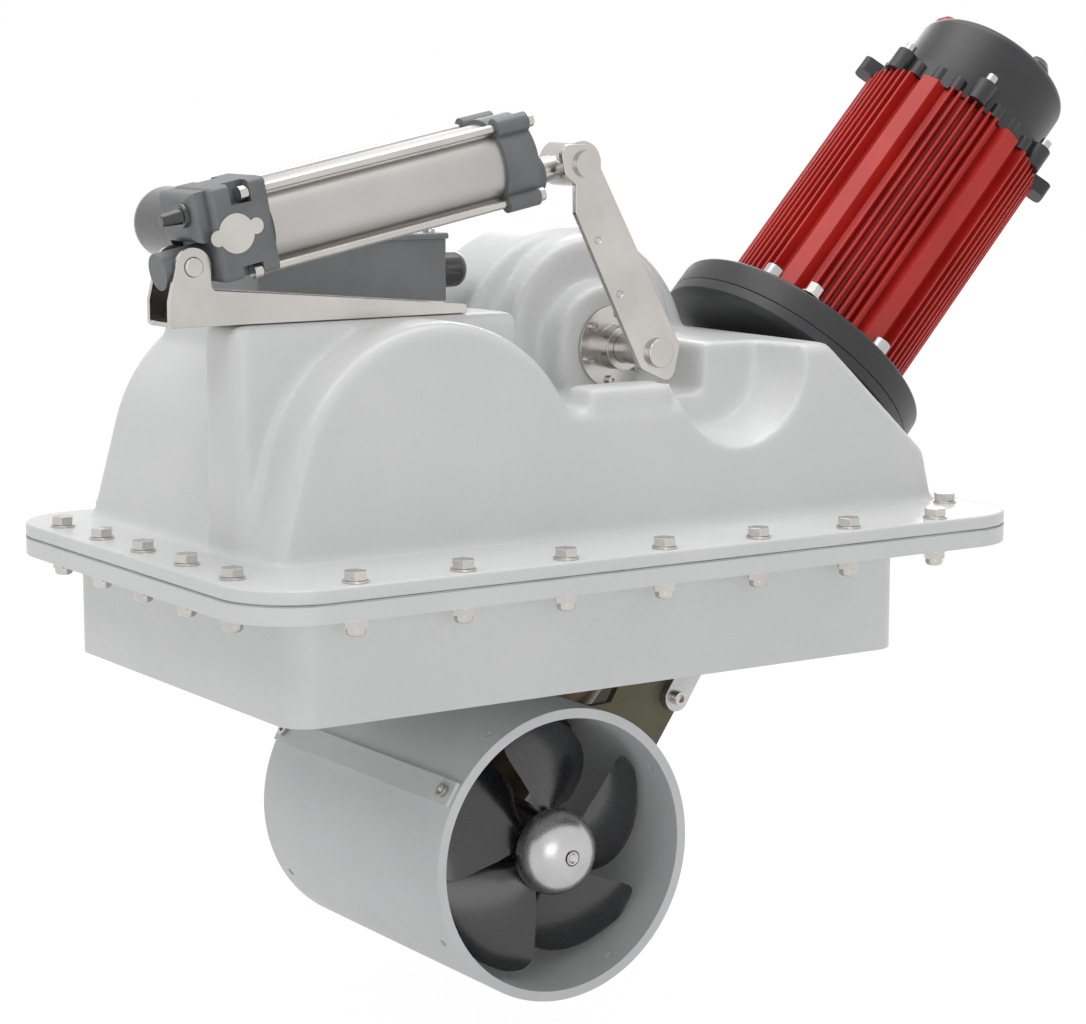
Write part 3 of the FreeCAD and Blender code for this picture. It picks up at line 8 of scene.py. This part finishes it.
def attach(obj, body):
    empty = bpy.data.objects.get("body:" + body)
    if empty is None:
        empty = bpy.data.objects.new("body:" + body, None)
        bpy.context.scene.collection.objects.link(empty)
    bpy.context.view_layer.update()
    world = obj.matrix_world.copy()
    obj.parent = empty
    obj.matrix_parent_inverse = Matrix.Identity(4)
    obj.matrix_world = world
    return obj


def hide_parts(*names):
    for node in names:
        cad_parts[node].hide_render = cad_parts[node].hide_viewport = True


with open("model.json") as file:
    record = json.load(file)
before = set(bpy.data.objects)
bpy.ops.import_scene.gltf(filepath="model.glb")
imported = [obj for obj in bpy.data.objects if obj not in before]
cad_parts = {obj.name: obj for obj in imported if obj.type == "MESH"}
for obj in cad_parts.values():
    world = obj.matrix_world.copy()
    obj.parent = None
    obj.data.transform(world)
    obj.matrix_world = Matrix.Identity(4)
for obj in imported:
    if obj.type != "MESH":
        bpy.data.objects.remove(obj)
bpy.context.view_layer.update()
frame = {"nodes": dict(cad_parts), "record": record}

print("stage 1: frame loaded,", len(frame["nodes"]), "nodes")

# what the whole scene shares: how the photo was taken and how it is lit
shot = {
    "place": (-1.076, -1.6849, 0.3109),
    "right": (0.8329, -0.5534, 0.0),
    "up": (0.0831, 0.1251, 0.9887),
    "back": (-0.5471, -0.8235, 0.1502),
    "lens": 97.18,
    "sensor": 36.0,
    "reach": 50,
}
light = {
    "white": (1, 1, 1, 1), "worldFill": 0.44, "roomWhite": 1.0,
    "floorZ": -0.335, "floorSize": 14.0, "floorTone": (0.88, 0.88, 0.88, 1), "floorRough": 0.9,
    "floorGlow": 1.08, "floorShare": 0.88,
    "lamps": [  # name, place, aim, size and power
        ("lampKey", (-1.7, -0.6, 2.3), (0.0, 0.0, 0.05), 1.3, 16.0),
        ("lampFront", (-0.9, -2.6, 0.1), (0.0, 0.0, -0.1), 1.5, 9.5),
        ("lampTop", (0.3, 0.2, 2.4), (0.0, 0.0, 0.0), 2.0, 29.0),
        ("lampBack", (1.6, 1.9, 1.0), (0.1, 0.0, 0.1), 1.2, 10.0),
    ],
}


def clearPick():
    if bpy.context.mode != "OBJECT":
        bpy.ops.object.mode_set(mode="OBJECT")
    bpy.ops.object.select_all(action="DESELECT")


def pick(piece):
    clearPick()
    piece.select_set(True)
    bpy.context.view_layer.objects.active = piece


def settle(piece, name=None):
    pick(piece)
    bpy.ops.object.transform_apply(location=True, rotation=True, scale=True)
    if name:
        piece.name = name
        piece.data.name = name
    return piece


def applyAll(piece):
    pick(piece)
    for step in [entry.name for entry in piece.modifiers]:
        bpy.ops.object.modifier_apply(modifier=step)


# materials: one finish for each slot of the record, all on Object coordinates
finishes = {
    "gelcoat": {"tone": (0.74, 0.75, 0.745), "toneLow": (0.705, 0.715, 0.715), "rough": 0.38,
                "roughSpan": 0.06, "coat": 0.25, "coatRough": 0.25, "grain": 230, "bump": 0.38,
                "toneScale": 9},
    "gasket": {"tone": (0.50, 0.51, 0.51), "toneLow": (0.42, 0.43, 0.43), "rough": 0.6,
               "roughSpan": 0.1, "grain": 900, "bump": 0.05, "toneScale": 30},
    "stainless": {"tone": (0.60, 0.575, 0.55), "toneLow": (0.52, 0.50, 0.48), "rough": 0.20,
                  "roughSpan": 0.05, "metal": 1.0, "grain": 900, "bump": 0.012, "toneScale": 22},
    "tunnel_grey": {"tone": (0.73, 0.745, 0.75), "toneLow": (0.68, 0.695, 0.70), "rough": 0.50,
                    "roughSpan": 0.08, "coat": 0.08, "coatRough": 0.3, "grain": 700, "bump": 0.05,
                    "toneScale": 14},
    "motor_red": {"tone": (0.53, 0.022, 0.013), "toneLow": (0.44, 0.015, 0.010), "rough": 0.46,
                  "roughSpan": 0.06, "coat": 0.10, "coatRough": 0.30, "grain": 900, "bump": 0.05,
                  "toneScale": 18},
    "motor_black": {"tone": (0.026, 0.027, 0.029), "toneLow": (0.018, 0.0185, 0.020), "rough": 0.40,
                    "roughSpan": 0.08, "coat": 0.1, "coatRough": 0.3, "grain": 1300, "bump": 0.07,
                    "toneScale": 25},
    "dark_casting": {"tone": (0.175, 0.185, 0.19), "toneLow": (0.14, 0.148, 0.153), "rough": 0.42,
                     "roughSpan": 0.1, "metal": 0.2, "grain": 1500, "bump": 0.10, "toneScale": 40},
    "steel": {"tone": (0.56, 0.56, 0.56), "toneLow": (0.46, 0.46, 0.465), "rough": 0.27,
              "roughSpan": 0.10, "metal": 1.0, "grain": 1300, "bump": 0.04, "toneScale": 30},
    "aluminium": {"tone": (0.52, 0.50, 0.485), "toneLow": (0.47, 0.455, 0.44), "rough": 0.40,
                  "roughSpan": 0.05, "metal": 1.0, "grain": 1400, "bump": 0.02, "toneScale": 12,
                  "stretch": (20.0, 1.0, 1.0), "turn": (0.0, -0.2, 0.0)},
    "bronze": {"tone": (0.16, 0.12, 0.075), "toneLow": (0.10, 0.075, 0.05), "rough": 0.42,
               "roughSpan": 0.12, "metal": 0.6, "grain": 900, "bump": 0.12, "toneScale": 30},
    "olive_plate": {"tone": (0.135, 0.125, 0.072), "toneLow": (0.105, 0.098, 0.056), "rough": 0.48,
                    "roughSpan": 0.08, "metal": 0.15, "grain": 1000, "bump": 0.05, "toneScale": 25},
    "black_plastic": {"tone": (0.016, 0.017, 0.019), "toneLow": (0.011, 0.0115, 0.013),
                      "rough": 0.27, "roughSpan": 0.05, "coat": 0.7, "coatRough": 0.22,
                      "grain": 1200, "bump": 0.02, "toneScale": 30},
    "red_plastic": {"tone": (0.45, 0.02, 0.015), "toneLow": (0.36, 0.015, 0.012), "rough": 0.5,
                    "roughSpan": 0.1, "grain": 900, "bump": 0.05, "toneScale": 30},
    "grey_plastic": {"tone": (0.225, 0.235, 0.24), "toneLow": (0.19, 0.198, 0.205), "rough": 0.45,
                     "roughSpan": 0.08, "grain": 1500, "bump": 0.06, "toneScale": 20},
    "copper": {"tone": (0.45, 0.22, 0.12), "toneLow": (0.35, 0.16, 0.08), "rough": 0.4,
               "roughSpan": 0.1, "metal": 0.9, "grain": 900, "bump": 0.1, "toneScale": 30},
}

# what every finish shares: cloudy tones, a fine grain and its depth in metres
finishBase = {"cloudDetail": 3.0, "cloudLow": 0.35, "cloudHigh": 0.65, "grainDetail": 4.0,
              "reliefDepth": 0.001, "coatRough": 0.3}


def makeFinish(name, look):
    made = bpy.data.materials.new(name)
    made.use_nodes = True
    nodes, links = made.node_tree.nodes, made.node_tree.links
    surface = nodes["Principled BSDF"]
    surface.inputs["Metallic"].default_value = look.get("metal", 0.0)
    surface.inputs["Coat Weight"].default_value = look.get("coat", 0.0)
    surface.inputs["Coat Roughness"].default_value = look.get("coatRough", finishBase["coatRough"])
    spot = nodes.new("ShaderNodeTexCoord")
    turnTo = nodes.new("ShaderNodeMapping")
    turnTo.vector_type = "TEXTURE"  # turned first, then drawn out
    turnTo.inputs["Scale"].default_value = look.get("stretch", (1.0, 1.0, 1.0))
    turnTo.inputs["Rotation"].default_value = look.get("turn", (0.0, 0.0, 0.0))
    links.new(spot.outputs["Object"], turnTo.inputs["Vector"])
    cloud = nodes.new("ShaderNodeTexNoise")  # broad change of tone
    cloud.inputs["Scale"].default_value = look["toneScale"]
    cloud.inputs["Detail"].default_value = finishBase["cloudDetail"]
    links.new(spot.outputs["Object"], cloud.inputs["Vector"])
    blend = nodes.new("ShaderNodeMix")
    blend.data_type = "RGBA"
    blend.inputs[6].default_value = (*look["toneLow"], 1.0)
    blend.inputs[7].default_value = (*look["tone"], 1.0)
    spread = nodes.new("ShaderNodeMapRange")
    spread.inputs["From Min"].default_value = finishBase["cloudLow"]
    spread.inputs["From Max"].default_value = finishBase["cloudHigh"]
    links.new(cloud.outputs["Fac"], spread.inputs["Value"])
    links.new(spread.outputs["Result"], blend.inputs[0])
    links.new(blend.outputs[2], surface.inputs["Base Color"])
    fine = nodes.new("ShaderNodeTexNoise")  # fine grain for gloss and relief
    fine.inputs["Scale"].default_value = look["grain"]
    fine.inputs["Detail"].default_value = finishBase["grainDetail"]
    links.new(turnTo.outputs["Vector"], fine.inputs["Vector"])
    gloss = nodes.new("ShaderNodeMapRange")
    gloss.inputs["To Min"].default_value = look["rough"] - look["roughSpan"]
    gloss.inputs["To Max"].default_value = look["rough"] + look["roughSpan"]
    links.new(fine.outputs["Fac"], gloss.inputs["Value"])
    links.new(gloss.outputs["Result"], surface.inputs["Roughness"])
    relief = nodes.new("ShaderNodeBump")
    relief.inputs["Strength"].default_value = look["bump"]
    relief.inputs["Distance"].default_value = finishBase["reliefDepth"]
    links.new(fine.outputs["Fac"], relief.inputs["Height"])
    links.new(relief.outputs["Normal"], surface.inputs["Normal"])
    if look.get("coat"):
        links.new(relief.outputs["Normal"], surface.inputs["Coat Normal"])
    return made


materials = {name: makeFinish(name, look) for name, look in finishes.items()}
slotOf = {entry["node"]: entry["material_slot"] for entry in frame["record"]["subparts"]}
bodies = frame["record"]["behaviour"]["bodies"]
bodyOf = {node: body for body, members in bodies.items() for node in members}


def paint(piece, name):
    piece.data.materials.clear()
    piece.data.materials.append(materials[name])


for nodeName, cadNode in frame["nodes"].items():
    paint(cadNode, slotOf[nodeName])
print("stage 2: materials ready,", len(materials))


def editAll():
    bpy.ops.object.mode_set(mode="EDIT")
    bpy.ops.mesh.select_all(action="SELECT")


def editDone():
    bpy.ops.object.mode_set(mode="OBJECT")


def copyOfNode(nodeName, name):
    cadNode = frame["nodes"][nodeName]
    piece = bpy.data.objects.new(name, cadNode.data.copy())
    piece.data.name = name
    bpy.context.scene.collection.objects.link(piece)
    pick(piece)
    bpy.ops.mesh.customdata_custom_splitnormals_clear()
    editAll()
    bpy.ops.mesh.remove_doubles(threshold=0.00001)
    editDone()
    return piece


def addsTo(piece, body, slotName):
    paint(piece, slotName)
    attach(piece, body)


def standsFor(piece, *nodeNames):
    addsTo(piece, bodyOf[nodeNames[0]], slotOf[nodeNames[0]])
    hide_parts(*nodeNames)


def box(name, middle, size):
    clearPick()
    bpy.ops.mesh.primitive_cube_add(size=1, location=middle)
    made = bpy.context.object
    made.scale = size
    return settle(made, name)


def takeOff(piece, cutter):
    cut = piece.modifiers.new("cut", "BOOLEAN")
    cut.object = cutter
    cut.operation = "DIFFERENCE"
    cut.solver = "EXACT"


def smoothBy(piece, angle):
    pick(piece)
    bpy.ops.object.shade_smooth_by_angle(angle=math.radians(angle))


# small real edges: angles in degrees; dissolving the flat seams first keeps the bevel clean
edgeBase = {"flat": 0.6, "smooth": 32, "limit": 35, "segments": 2}


def shapeEdges(piece, width):
    smoothBy(piece, edgeBase["smooth"])
    edge = piece.modifiers.new("edge", "BEVEL")
    edge.width = width
    edge.segments = edgeBase["segments"]
    edge.limit_method = "ANGLE"
    edge.angle_limit = math.radians(edgeBase["limit"])
    edge.harden_normals = True
    applyAll(piece)


def softEdges(nodeName, name, width):
    piece = copyOfNode(nodeName, name)
    editAll()
    bpy.ops.mesh.dissolve_limited(angle_limit=math.radians(edgeBase["flat"]))
    editDone()
    shapeEdges(piece, width)
    standsFor(piece, nodeName)


# the moulded cover: soft gelcoat all over, on a crisp flange
coverForm = {"voxel": 0.0026, "smoothing": 14, "strength": 0.5, "faces": 0.45, "sink": 0.0004,
             "cutZ": 0.005, "stepLow": (0.0535, -0.122, 0.1035), "stepHigh": (0.0715, -0.0965, 0.145)}


def mouldedCover():
    shell = copyOfNode("cover_moulding", "coverShell")
    grid = shell.modifiers.new("grid", "REMESH")
    grid.mode = "VOXEL"
    grid.voxel_size = coverForm["voxel"]
    applyAll(shell)
    # the land beside the lever's foot is open down to the pad
    low, high = Vector(coverForm["stepLow"]), Vector(coverForm["stepHigh"])
    cutter = box("stepCutter", (low + high) / 2, high - low)
    takeOff(shell, cutter)
    applyAll(shell)
    bpy.data.objects.remove(cutter)
    soft = shell.modifiers.new("soft", "SMOOTH")
    soft.factor = coverForm["strength"]
    soft.iterations = coverForm["smoothing"]
    fewer = shell.modifiers.new("fewer", "DECIMATE")
    fewer.ratio = coverForm["faces"]
    applyAll(shell)
    editAll()
    bpy.ops.transform.translate(value=(0, 0, -coverForm["sink"]))
    bpy.ops.mesh.select_all(action="SELECT")
    bpy.ops.mesh.bisect(plane_co=(0, 0, coverForm["cutZ"]), plane_no=(0, 0, 1),
                        clear_inner=True, use_fill=True)
    editDone()
    bpy.ops.object.shade_smooth()
    standsFor(shell, "cover_moulding")


# the flange plate that the cover stands on, as the CAD has it
flange = {"length": 0.600, "width": 0.366, "middle": (0.004, -0.033), "low": 0.001, "high": 0.010,
          "corner": 0.049, "cornerSteps": 14, "openLength": 0.502, "openWidth": 0.2505,
          "openMiddle": (0.015, -0.00475), "openTall": 0.1, "round": 0.0016, "roundSteps": 3,
          "roundLimit": 40, "smooth": 30}


def coverFlange():
    level = (flange["low"] + flange["high"]) / 2
    plate = box("coverFlange", (*flange["middle"], level),
                (flange["length"], flange["width"], flange["high"] - flange["low"]))
    bpy.ops.object.mode_set(mode="EDIT")
    bpy.ops.mesh.select_mode(type="EDGE")
    bpy.ops.mesh.select_all(action="DESELECT")
    mesh = bmesh.from_edit_mesh(plate.data)
    for edge in mesh.edges:
        a, b = edge.verts
        edge.select_set(abs(a.co.x - b.co.x) < 1e-6 and abs(a.co.y - b.co.y) < 1e-6)
    bmesh.update_edit_mesh(plate.data)
    bpy.ops.mesh.bevel(offset=flange["corner"], segments=flange["cornerSteps"], affect="EDGES")
    editDone()
    opening = box("flangeOpening", (*flange["openMiddle"], level),
                  (flange["openLength"], flange["openWidth"], flange["openTall"]))
    takeOff(plate, opening)
    rim = plate.modifiers.new("rim", "BEVEL")
    rim.width = flange["round"]
    rim.segments = flange["roundSteps"]
    rim.limit_method = "ANGLE"
    rim.angle_limit = math.radians(flange["roundLimit"])
    applyAll(plate)
    bpy.data.objects.remove(opening)
    smoothBy(plate, flange["smooth"])
    standsFor(plate, "cover_moulding")


mouldedCover()
coverFlange()
print("stage 3: cover")

# castings and plates keep the CAD form and get a small real edge: node, piece, width in metres
edges = [
    ("hull_trunk", "trunkForm", 0.0012), ("motor_flange", "motorFlangeForm", 0.0009),
    ("motor_end_ring", "endRingForm", 0.0010), ("motor_end_bell", "endBellForm", 0.0008),
    ("motor_body", "motorFins", 0.0003), ("gear_housing", "housingForm", 0.0009),
    ("actuator_head", "headForm", 0.0008), ("actuator_bracket", "bracketForm", 0.0004),
    ("lever_bush", "bushForm", 0.0006), ("control_box", "boxForm", 0.0008),
    ("control_lid", "lidForm", 0.0006), ("tunnel", "tunnelForm", 0.0010),
    ("tunnel_strip", "stripForm", 0.0005), ("swing_cheeks", "cheekForm", 0.0006),
    ("swing_arms", "armForm", 0.0006), ("bracket_pin", "bracketPinForm", 0.0008),
    ("lever_shaft", "leverShaftForm", 0.0008), ("actuator_rod", "plungerForm", 0.0008),
    ("tie_rods", "tieRodForm", 0.0004), ("gear_leg", "legForm", 0.0008),
    ("flange_bolts", "boltForm", 0.0005), ("flange_nuts", "nutForm", 0.0004),
    ("flange_washers", "washerForm", 0.0002), ("gear_motor", "gearMotorForm", 0.0008),
    ("cable_outlet", "outletForm", 0.0005), ("control_gland", "glandForm", 0.0006),
    ("motor_screws", "motorScrewForm", 0.0003), ("swing_screws", "swingScrewForm", 0.0003),
    ("bush_studs", "studForm", 0.0003), ("motor_adapter", "adapterForm", 0.0008),
]
for nodeName, name, width in edges:
    softEdges(nodeName, name, width)
print("stage 4: castings and plates")


# the lever: one polished plate in front of the rod's eye, as the photo shows it
lever = {
    "foot": (0.074, 0.121), "lean": -25, "face": -0.094, "thick": 0.0045, "edge": 0.0005,
    "cornerSteps": 6,
    # each corner: how far up the lever, how far across it, and its rounding
    "marks": [(0.1605, -0.0130, 0.009), (0.1508, 0.0078, 0.009), (0.1380, 0.0092, 0.006),
              (-0.0038, 0.0182, 0.012), (-0.0248, 0.0014, 0.010), (-0.0034, -0.0171, 0.012),
              (0.1144, -0.0206, 0.005), (0.1318, -0.0128, 0.003), (0.1407, -0.0177, 0.006)],
    "screws": [(0.0247, 0.1980), (0.0425, 0.1617)], "screwRadius": 0.0028, "screwProud": 0.0007,
    "pinEnd": -0.0595, "pinEdge": 0.0006,
}


def leverPlate():
    clearPick()
    count = len(lever["marks"])
    bpy.ops.mesh.primitive_circle_add(vertices=count, radius=0.05, fill_type="NGON")
    plate = bpy.context.object
    plate.name = plate.data.name = "leverForm"
    bpy.ops.object.mode_set(mode="EDIT")
    bpy.ops.mesh.select_mode(type="VERT")
    mesh = bmesh.from_edit_mesh(plate.data)
    loop = [corner.vert for corner in mesh.faces[:][0].loops]
    lean = math.radians(lever["lean"])
    spots, roundings = [], []
    for up, over, rounding in lever["marks"]:
        x = lever["foot"][0] + up * math.sin(lean) + over * math.cos(lean)
        z = lever["foot"][1] + up * math.cos(lean) - over * math.sin(lean)
        spots.append(Vector((x, lever["face"], z)))
        roundings.append(rounding)
    for vert, spot in zip(loop, spots):
        vert.co = spot
    bmesh.update_edit_mesh(plate.data)
    for index, spot in enumerate(spots):
        before, after = spots[index - 1], spots[(index + 1) % count]
        opening = (before - spot).angle(after - spot)
        bpy.ops.mesh.select_all(action="DESELECT")
        mesh = bmesh.from_edit_mesh(plate.data)
        nearest = min(mesh.verts, key=lambda vert: (vert.co - spot).length)
        nearest.select_set(True)
        bmesh.update_edit_mesh(plate.data)
        reach = roundings[index] / math.tan(opening / 2)
        bpy.ops.mesh.bevel(offset=reach, offset_type="WIDTH", segments=lever["cornerSteps"],
                           affect="VERTICES")
    bpy.ops.mesh.select_all(action="SELECT")
    bpy.ops.mesh.extrude_region_move(TRANSFORM_OT_translate={"value": (0, lever["thick"], 0)})
    bpy.ops.mesh.select_all(action="SELECT")
    bpy.ops.mesh.normals_make_consistent(inside=False)
    editDone()
    settle(plate)
    shapeEdges(plate, lever["edge"])
    standsFor(plate, "lever_plates", "lever_spacers")


# a low head that looks towards -Y; the shares are of its radius and of how proud it stands
socket = {"sides": 28, "rim": 0.22, "slope": 0.30, "deep": 1.5, "edge": 0.3}


def socketScrew(name, body, face, radius, proud, slotName):
    clearPick()
    bpy.ops.mesh.primitive_cylinder_add(vertices=socket["sides"], radius=radius, depth=proud * 2,
                                        location=face, rotation=(math.pi / 2, 0, 0))
    head = settle(bpy.context.object, name)
    bpy.ops.object.mode_set(mode="EDIT")
    bpy.ops.mesh.select_mode(type="FACE")
    bpy.ops.mesh.select_all(action="DESELECT")
    mesh = bmesh.from_edit_mesh(head.data)
    for side in mesh.faces:
        side.select_set(side.normal.y < -0.9)
    bmesh.update_edit_mesh(head.data)
    bpy.ops.mesh.inset(thickness=radius * socket["rim"])
    bpy.ops.mesh.inset(thickness=radius * socket["slope"])
    bpy.ops.transform.translate(value=(0, proud * socket["deep"], 0))
    editDone()
    shapeEdges(head, proud * socket["edge"])
    addsTo(head, body, slotName)


def shortPins():
    pins = copyOfNode("rod_pins", "rodPinForm")
    editAll()
    bpy.ops.mesh.bisect(plane_co=(0, lever["pinEnd"], 0), plane_no=(0, 1, 0),
                        clear_outer=True, use_fill=True)
    editDone()
    shapeEdges(pins, lever["pinEdge"])
    standsFor(pins, "rod_pins")


leverPlate()
shortPins()
for number, (x, z) in enumerate(lever["screws"], start=1):
    socketScrew("leverScrew" + str(number), "lever", (x, lever["face"], z),
                lever["screwRadius"], lever["screwProud"], "steel")
print("stage 5: lever")

# bare silver badge on the gear housing's cheek
badge = {"plane": -0.1003, "slot": "stainless"}
housing = bpy.data.objects["housingForm"]
housing.data.materials.append(materials[badge["slot"]])
for side in housing.data.polygons:
    if side.center.y < badge["plane"]:
        side.material_index = 1

# the front cone at the size seen
cone = {"hub": (-0.0176, 0.0, -0.207), "wider": 1.12, "smooth": 30}
nose = copyOfNode("front_nose_cone", "noseConeForm")
editAll()
bpy.ops.transform.resize(value=(cone["wider"], 1, cone["wider"]), center_override=cone["hub"])
editDone()
smoothBy(nose, cone["smooth"])
standsFor(nose, "front_nose_cone")

# cross recess screw in the cone's tip
coneScrew = {"place": (-0.0176, -0.1268, -0.207), "radius": 0.0046, "proud": 0.0010}
socketScrew("coneScrew", "front_rotor", coneScrew["place"], coneScrew["radius"], coneScrew["proud"],
            "stainless")

# broad glossy blades: each blade of the CAD form is spread about its own middle
blades = {"hub": (-0.0176, -0.207), "root": 0.0245, "full": 0.040, "spread": 1.28, "smooth": 35}


def broadBlades(nodeName, name):
    piece = copyOfNode(nodeName, name)
    mesh = bmesh.new()
    mesh.from_mesh(piece.data)
    hubX, hubZ = blades["hub"]

    def polar(vert):
        x, z = vert.co.x - hubX, vert.co.z - hubZ
        return math.hypot(x, z), math.atan2(z, x)

    waiting = {vert for vert in mesh.verts if polar(vert)[0] > blades["root"]}
    while waiting:
        blade, edge = set(), [waiting.pop()]
        while edge:
            vert = edge.pop()
            blade.add(vert)
            for link in vert.link_edges:
                other = link.other_vert(vert)
                if other in waiting:
                    waiting.remove(other)
                    edge.append(other)
        middle = math.atan2(sum(math.sin(polar(vert)[1]) for vert in blade),
                            sum(math.cos(polar(vert)[1]) for vert in blade))
        for vert in blade:
            out, turn = polar(vert)
            off = (turn - middle + math.pi) % (2 * math.pi) - math.pi
            share = min(1.0, (out - blades["root"]) / (blades["full"] - blades["root"]))
            turn = middle + off * (1 + (blades["spread"] - 1) * share)
            vert.co.x = hubX + out * math.cos(turn)
            vert.co.z = hubZ + out * math.sin(turn)
    mesh.to_mesh(piece.data)
    mesh.free()
    smoothBy(piece, blades["smooth"])
    standsFor(piece, nodeName)


broadBlades("front_propeller", "frontBlades")
broadBlades("rear_propeller", "rearBlades")
print("stage 6: badge, cone and propellers")

# large hexagon screw that holds the motor's flange, near the second rib
flangeScrew = {"hub": (-0.0176, 0.0, -0.207), "tilt": 42.5, "turn": -133, "out": 0.0935,
               "station": 0.4266, "radius": 0.0062, "tall": 0.0095, "edge": 0.0006,
               "washer": 0.0075, "washerSides": 32, "washerTall": 0.0016, "washerRise": 0.0006}


def motorFlangeScrew():
    tilt, turn = math.radians(flangeScrew["tilt"]), math.radians(flangeScrew["turn"])
    axis = Vector((math.sin(tilt), 0, math.cos(tilt)))
    across = Vector((math.cos(tilt), 0, -math.sin(tilt)))
    foot = Vector(flangeScrew["hub"]) + axis * flangeScrew["station"]
    foot += flangeScrew["out"] * (math.cos(turn) * across + math.sin(turn) * Vector((0, 1, 0)))
    facing = axis.to_track_quat("Z", "Y").to_euler()
    clearPick()
    bpy.ops.mesh.primitive_cylinder_add(
        vertices=6, radius=flangeScrew["radius"], depth=flangeScrew["tall"],
        location=foot + axis * flangeScrew["tall"] / 2, rotation=facing)
    head = bpy.context.object
    bpy.ops.mesh.primitive_cylinder_add(
        vertices=flangeScrew["washerSides"], radius=flangeScrew["washer"],
        depth=flangeScrew["washerTall"],
        location=foot + axis * flangeScrew["washerRise"], rotation=facing)
    head.select_set(True)
    bpy.ops.object.join()
    screw = settle(bpy.context.object, "motorFlangeScrew")
    shapeEdges(screw, flangeScrew["edge"])
    addsTo(screw, "root", "stainless")


motorFlangeScrew()
print("stage 7: flange screw")

# camera
clearPick()
bpy.ops.object.camera_add(location=shot["place"])
camera = bpy.context.object
camera.name = "photoCamera"
view = Matrix((shot["right"], shot["up"], shot["back"])).transposed()
camera.matrix_world = Matrix.Translation(Vector(shot["place"])) @ view.to_4x4()
camera.data.lens = shot["lens"]
camera.data.sensor_width = shot["sensor"]
camera.data.clip_end = shot["reach"]
bpy.context.scene.camera = camera

# lamps, each aimed at the object
for name, place, target, size, power in light["lamps"]:
    bpy.ops.object.light_add(type="AREA", location=place)
    lamp = bpy.context.object
    lamp.name = name
    lamp.data.shape = "SQUARE"
    lamp.data.size = size
    lamp.data.energy = power
    lamp.rotation_euler = (Vector(target) - Vector(place)).to_track_quat("-Z", "Y").to_euler()


def whiteRays(nodes, links):
    # 1 for camera, transmission and mirror rays, else 0
    path = nodes.new("ShaderNodeLightPath")
    seen = path.outputs["Is Camera Ray"]
    for kind in ("Is Transmission Ray", "Is Glossy Ray"):
        either = nodes.new("ShaderNodeMath")
        either.operation = "MAXIMUM"
        links.new(seen, either.inputs[0])
        links.new(path.outputs[kind], either.inputs[1])
        seen = either.outputs[0]
    return seen


# white world for camera and mirror rays, calm fill for the rest
world = bpy.data.worlds.new("paleRoom")
bpy.context.scene.world = world
world.use_nodes = True
sky, wires = world.node_tree.nodes, world.node_tree.links
fill = sky["Background"]
fill.inputs["Color"].default_value = light["white"]
fill.inputs["Strength"].default_value = light["worldFill"]
clean = sky.new("ShaderNodeBackground")
clean.inputs["Color"].default_value = light["white"]
clean.inputs["Strength"].default_value = light["roomWhite"]
chooser = sky.new("ShaderNodeMixShader")
wires.new(whiteRays(sky, wires), chooser.inputs[0])
wires.new(fill.outputs[0], chooser.inputs[1])
wires.new(clean.outputs[0], chooser.inputs[2])
wires.new(chooser.outputs[0], sky["World Output"].inputs["Surface"])

# pale floor that stays white to the camera and keeps a faint shadow
clearPick()
bpy.ops.mesh.primitive_plane_add(size=light["floorSize"], location=(0, 0, light["floorZ"]))
floor = settle(bpy.context.object, "floor")
floorPaint = bpy.data.materials.new("paleFloor")
floorPaint.use_nodes = True
tree, join = floorPaint.node_tree.nodes, floorPaint.node_tree.links
plain = tree["Principled BSDF"]
plain.inputs["Base Color"].default_value = light["floorTone"]
plain.inputs["Roughness"].default_value = light["floorRough"]
glow = tree.new("ShaderNodeEmission")
glow.inputs["Strength"].default_value = light["floorGlow"]
share = tree.new("ShaderNodeMath")
share.operation = "MULTIPLY"
share.inputs[1].default_value = light["floorShare"]
mixed = tree.new("ShaderNodeMixShader")
join.new(whiteRays(tree, join), share.inputs[0])
join.new(share.outputs[0], mixed.inputs[0])
join.new(plain.outputs[0], mixed.inputs[1])
join.new(glow.outputs[0], mixed.inputs[2])
join.new(mixed.outputs[0], tree["Material Output"].inputs["Surface"])
floor.data.materials.append(floorPaint)
bpy.context.scene.view_settings.view_transform = "Standard"
print("stage 8: camera and light")
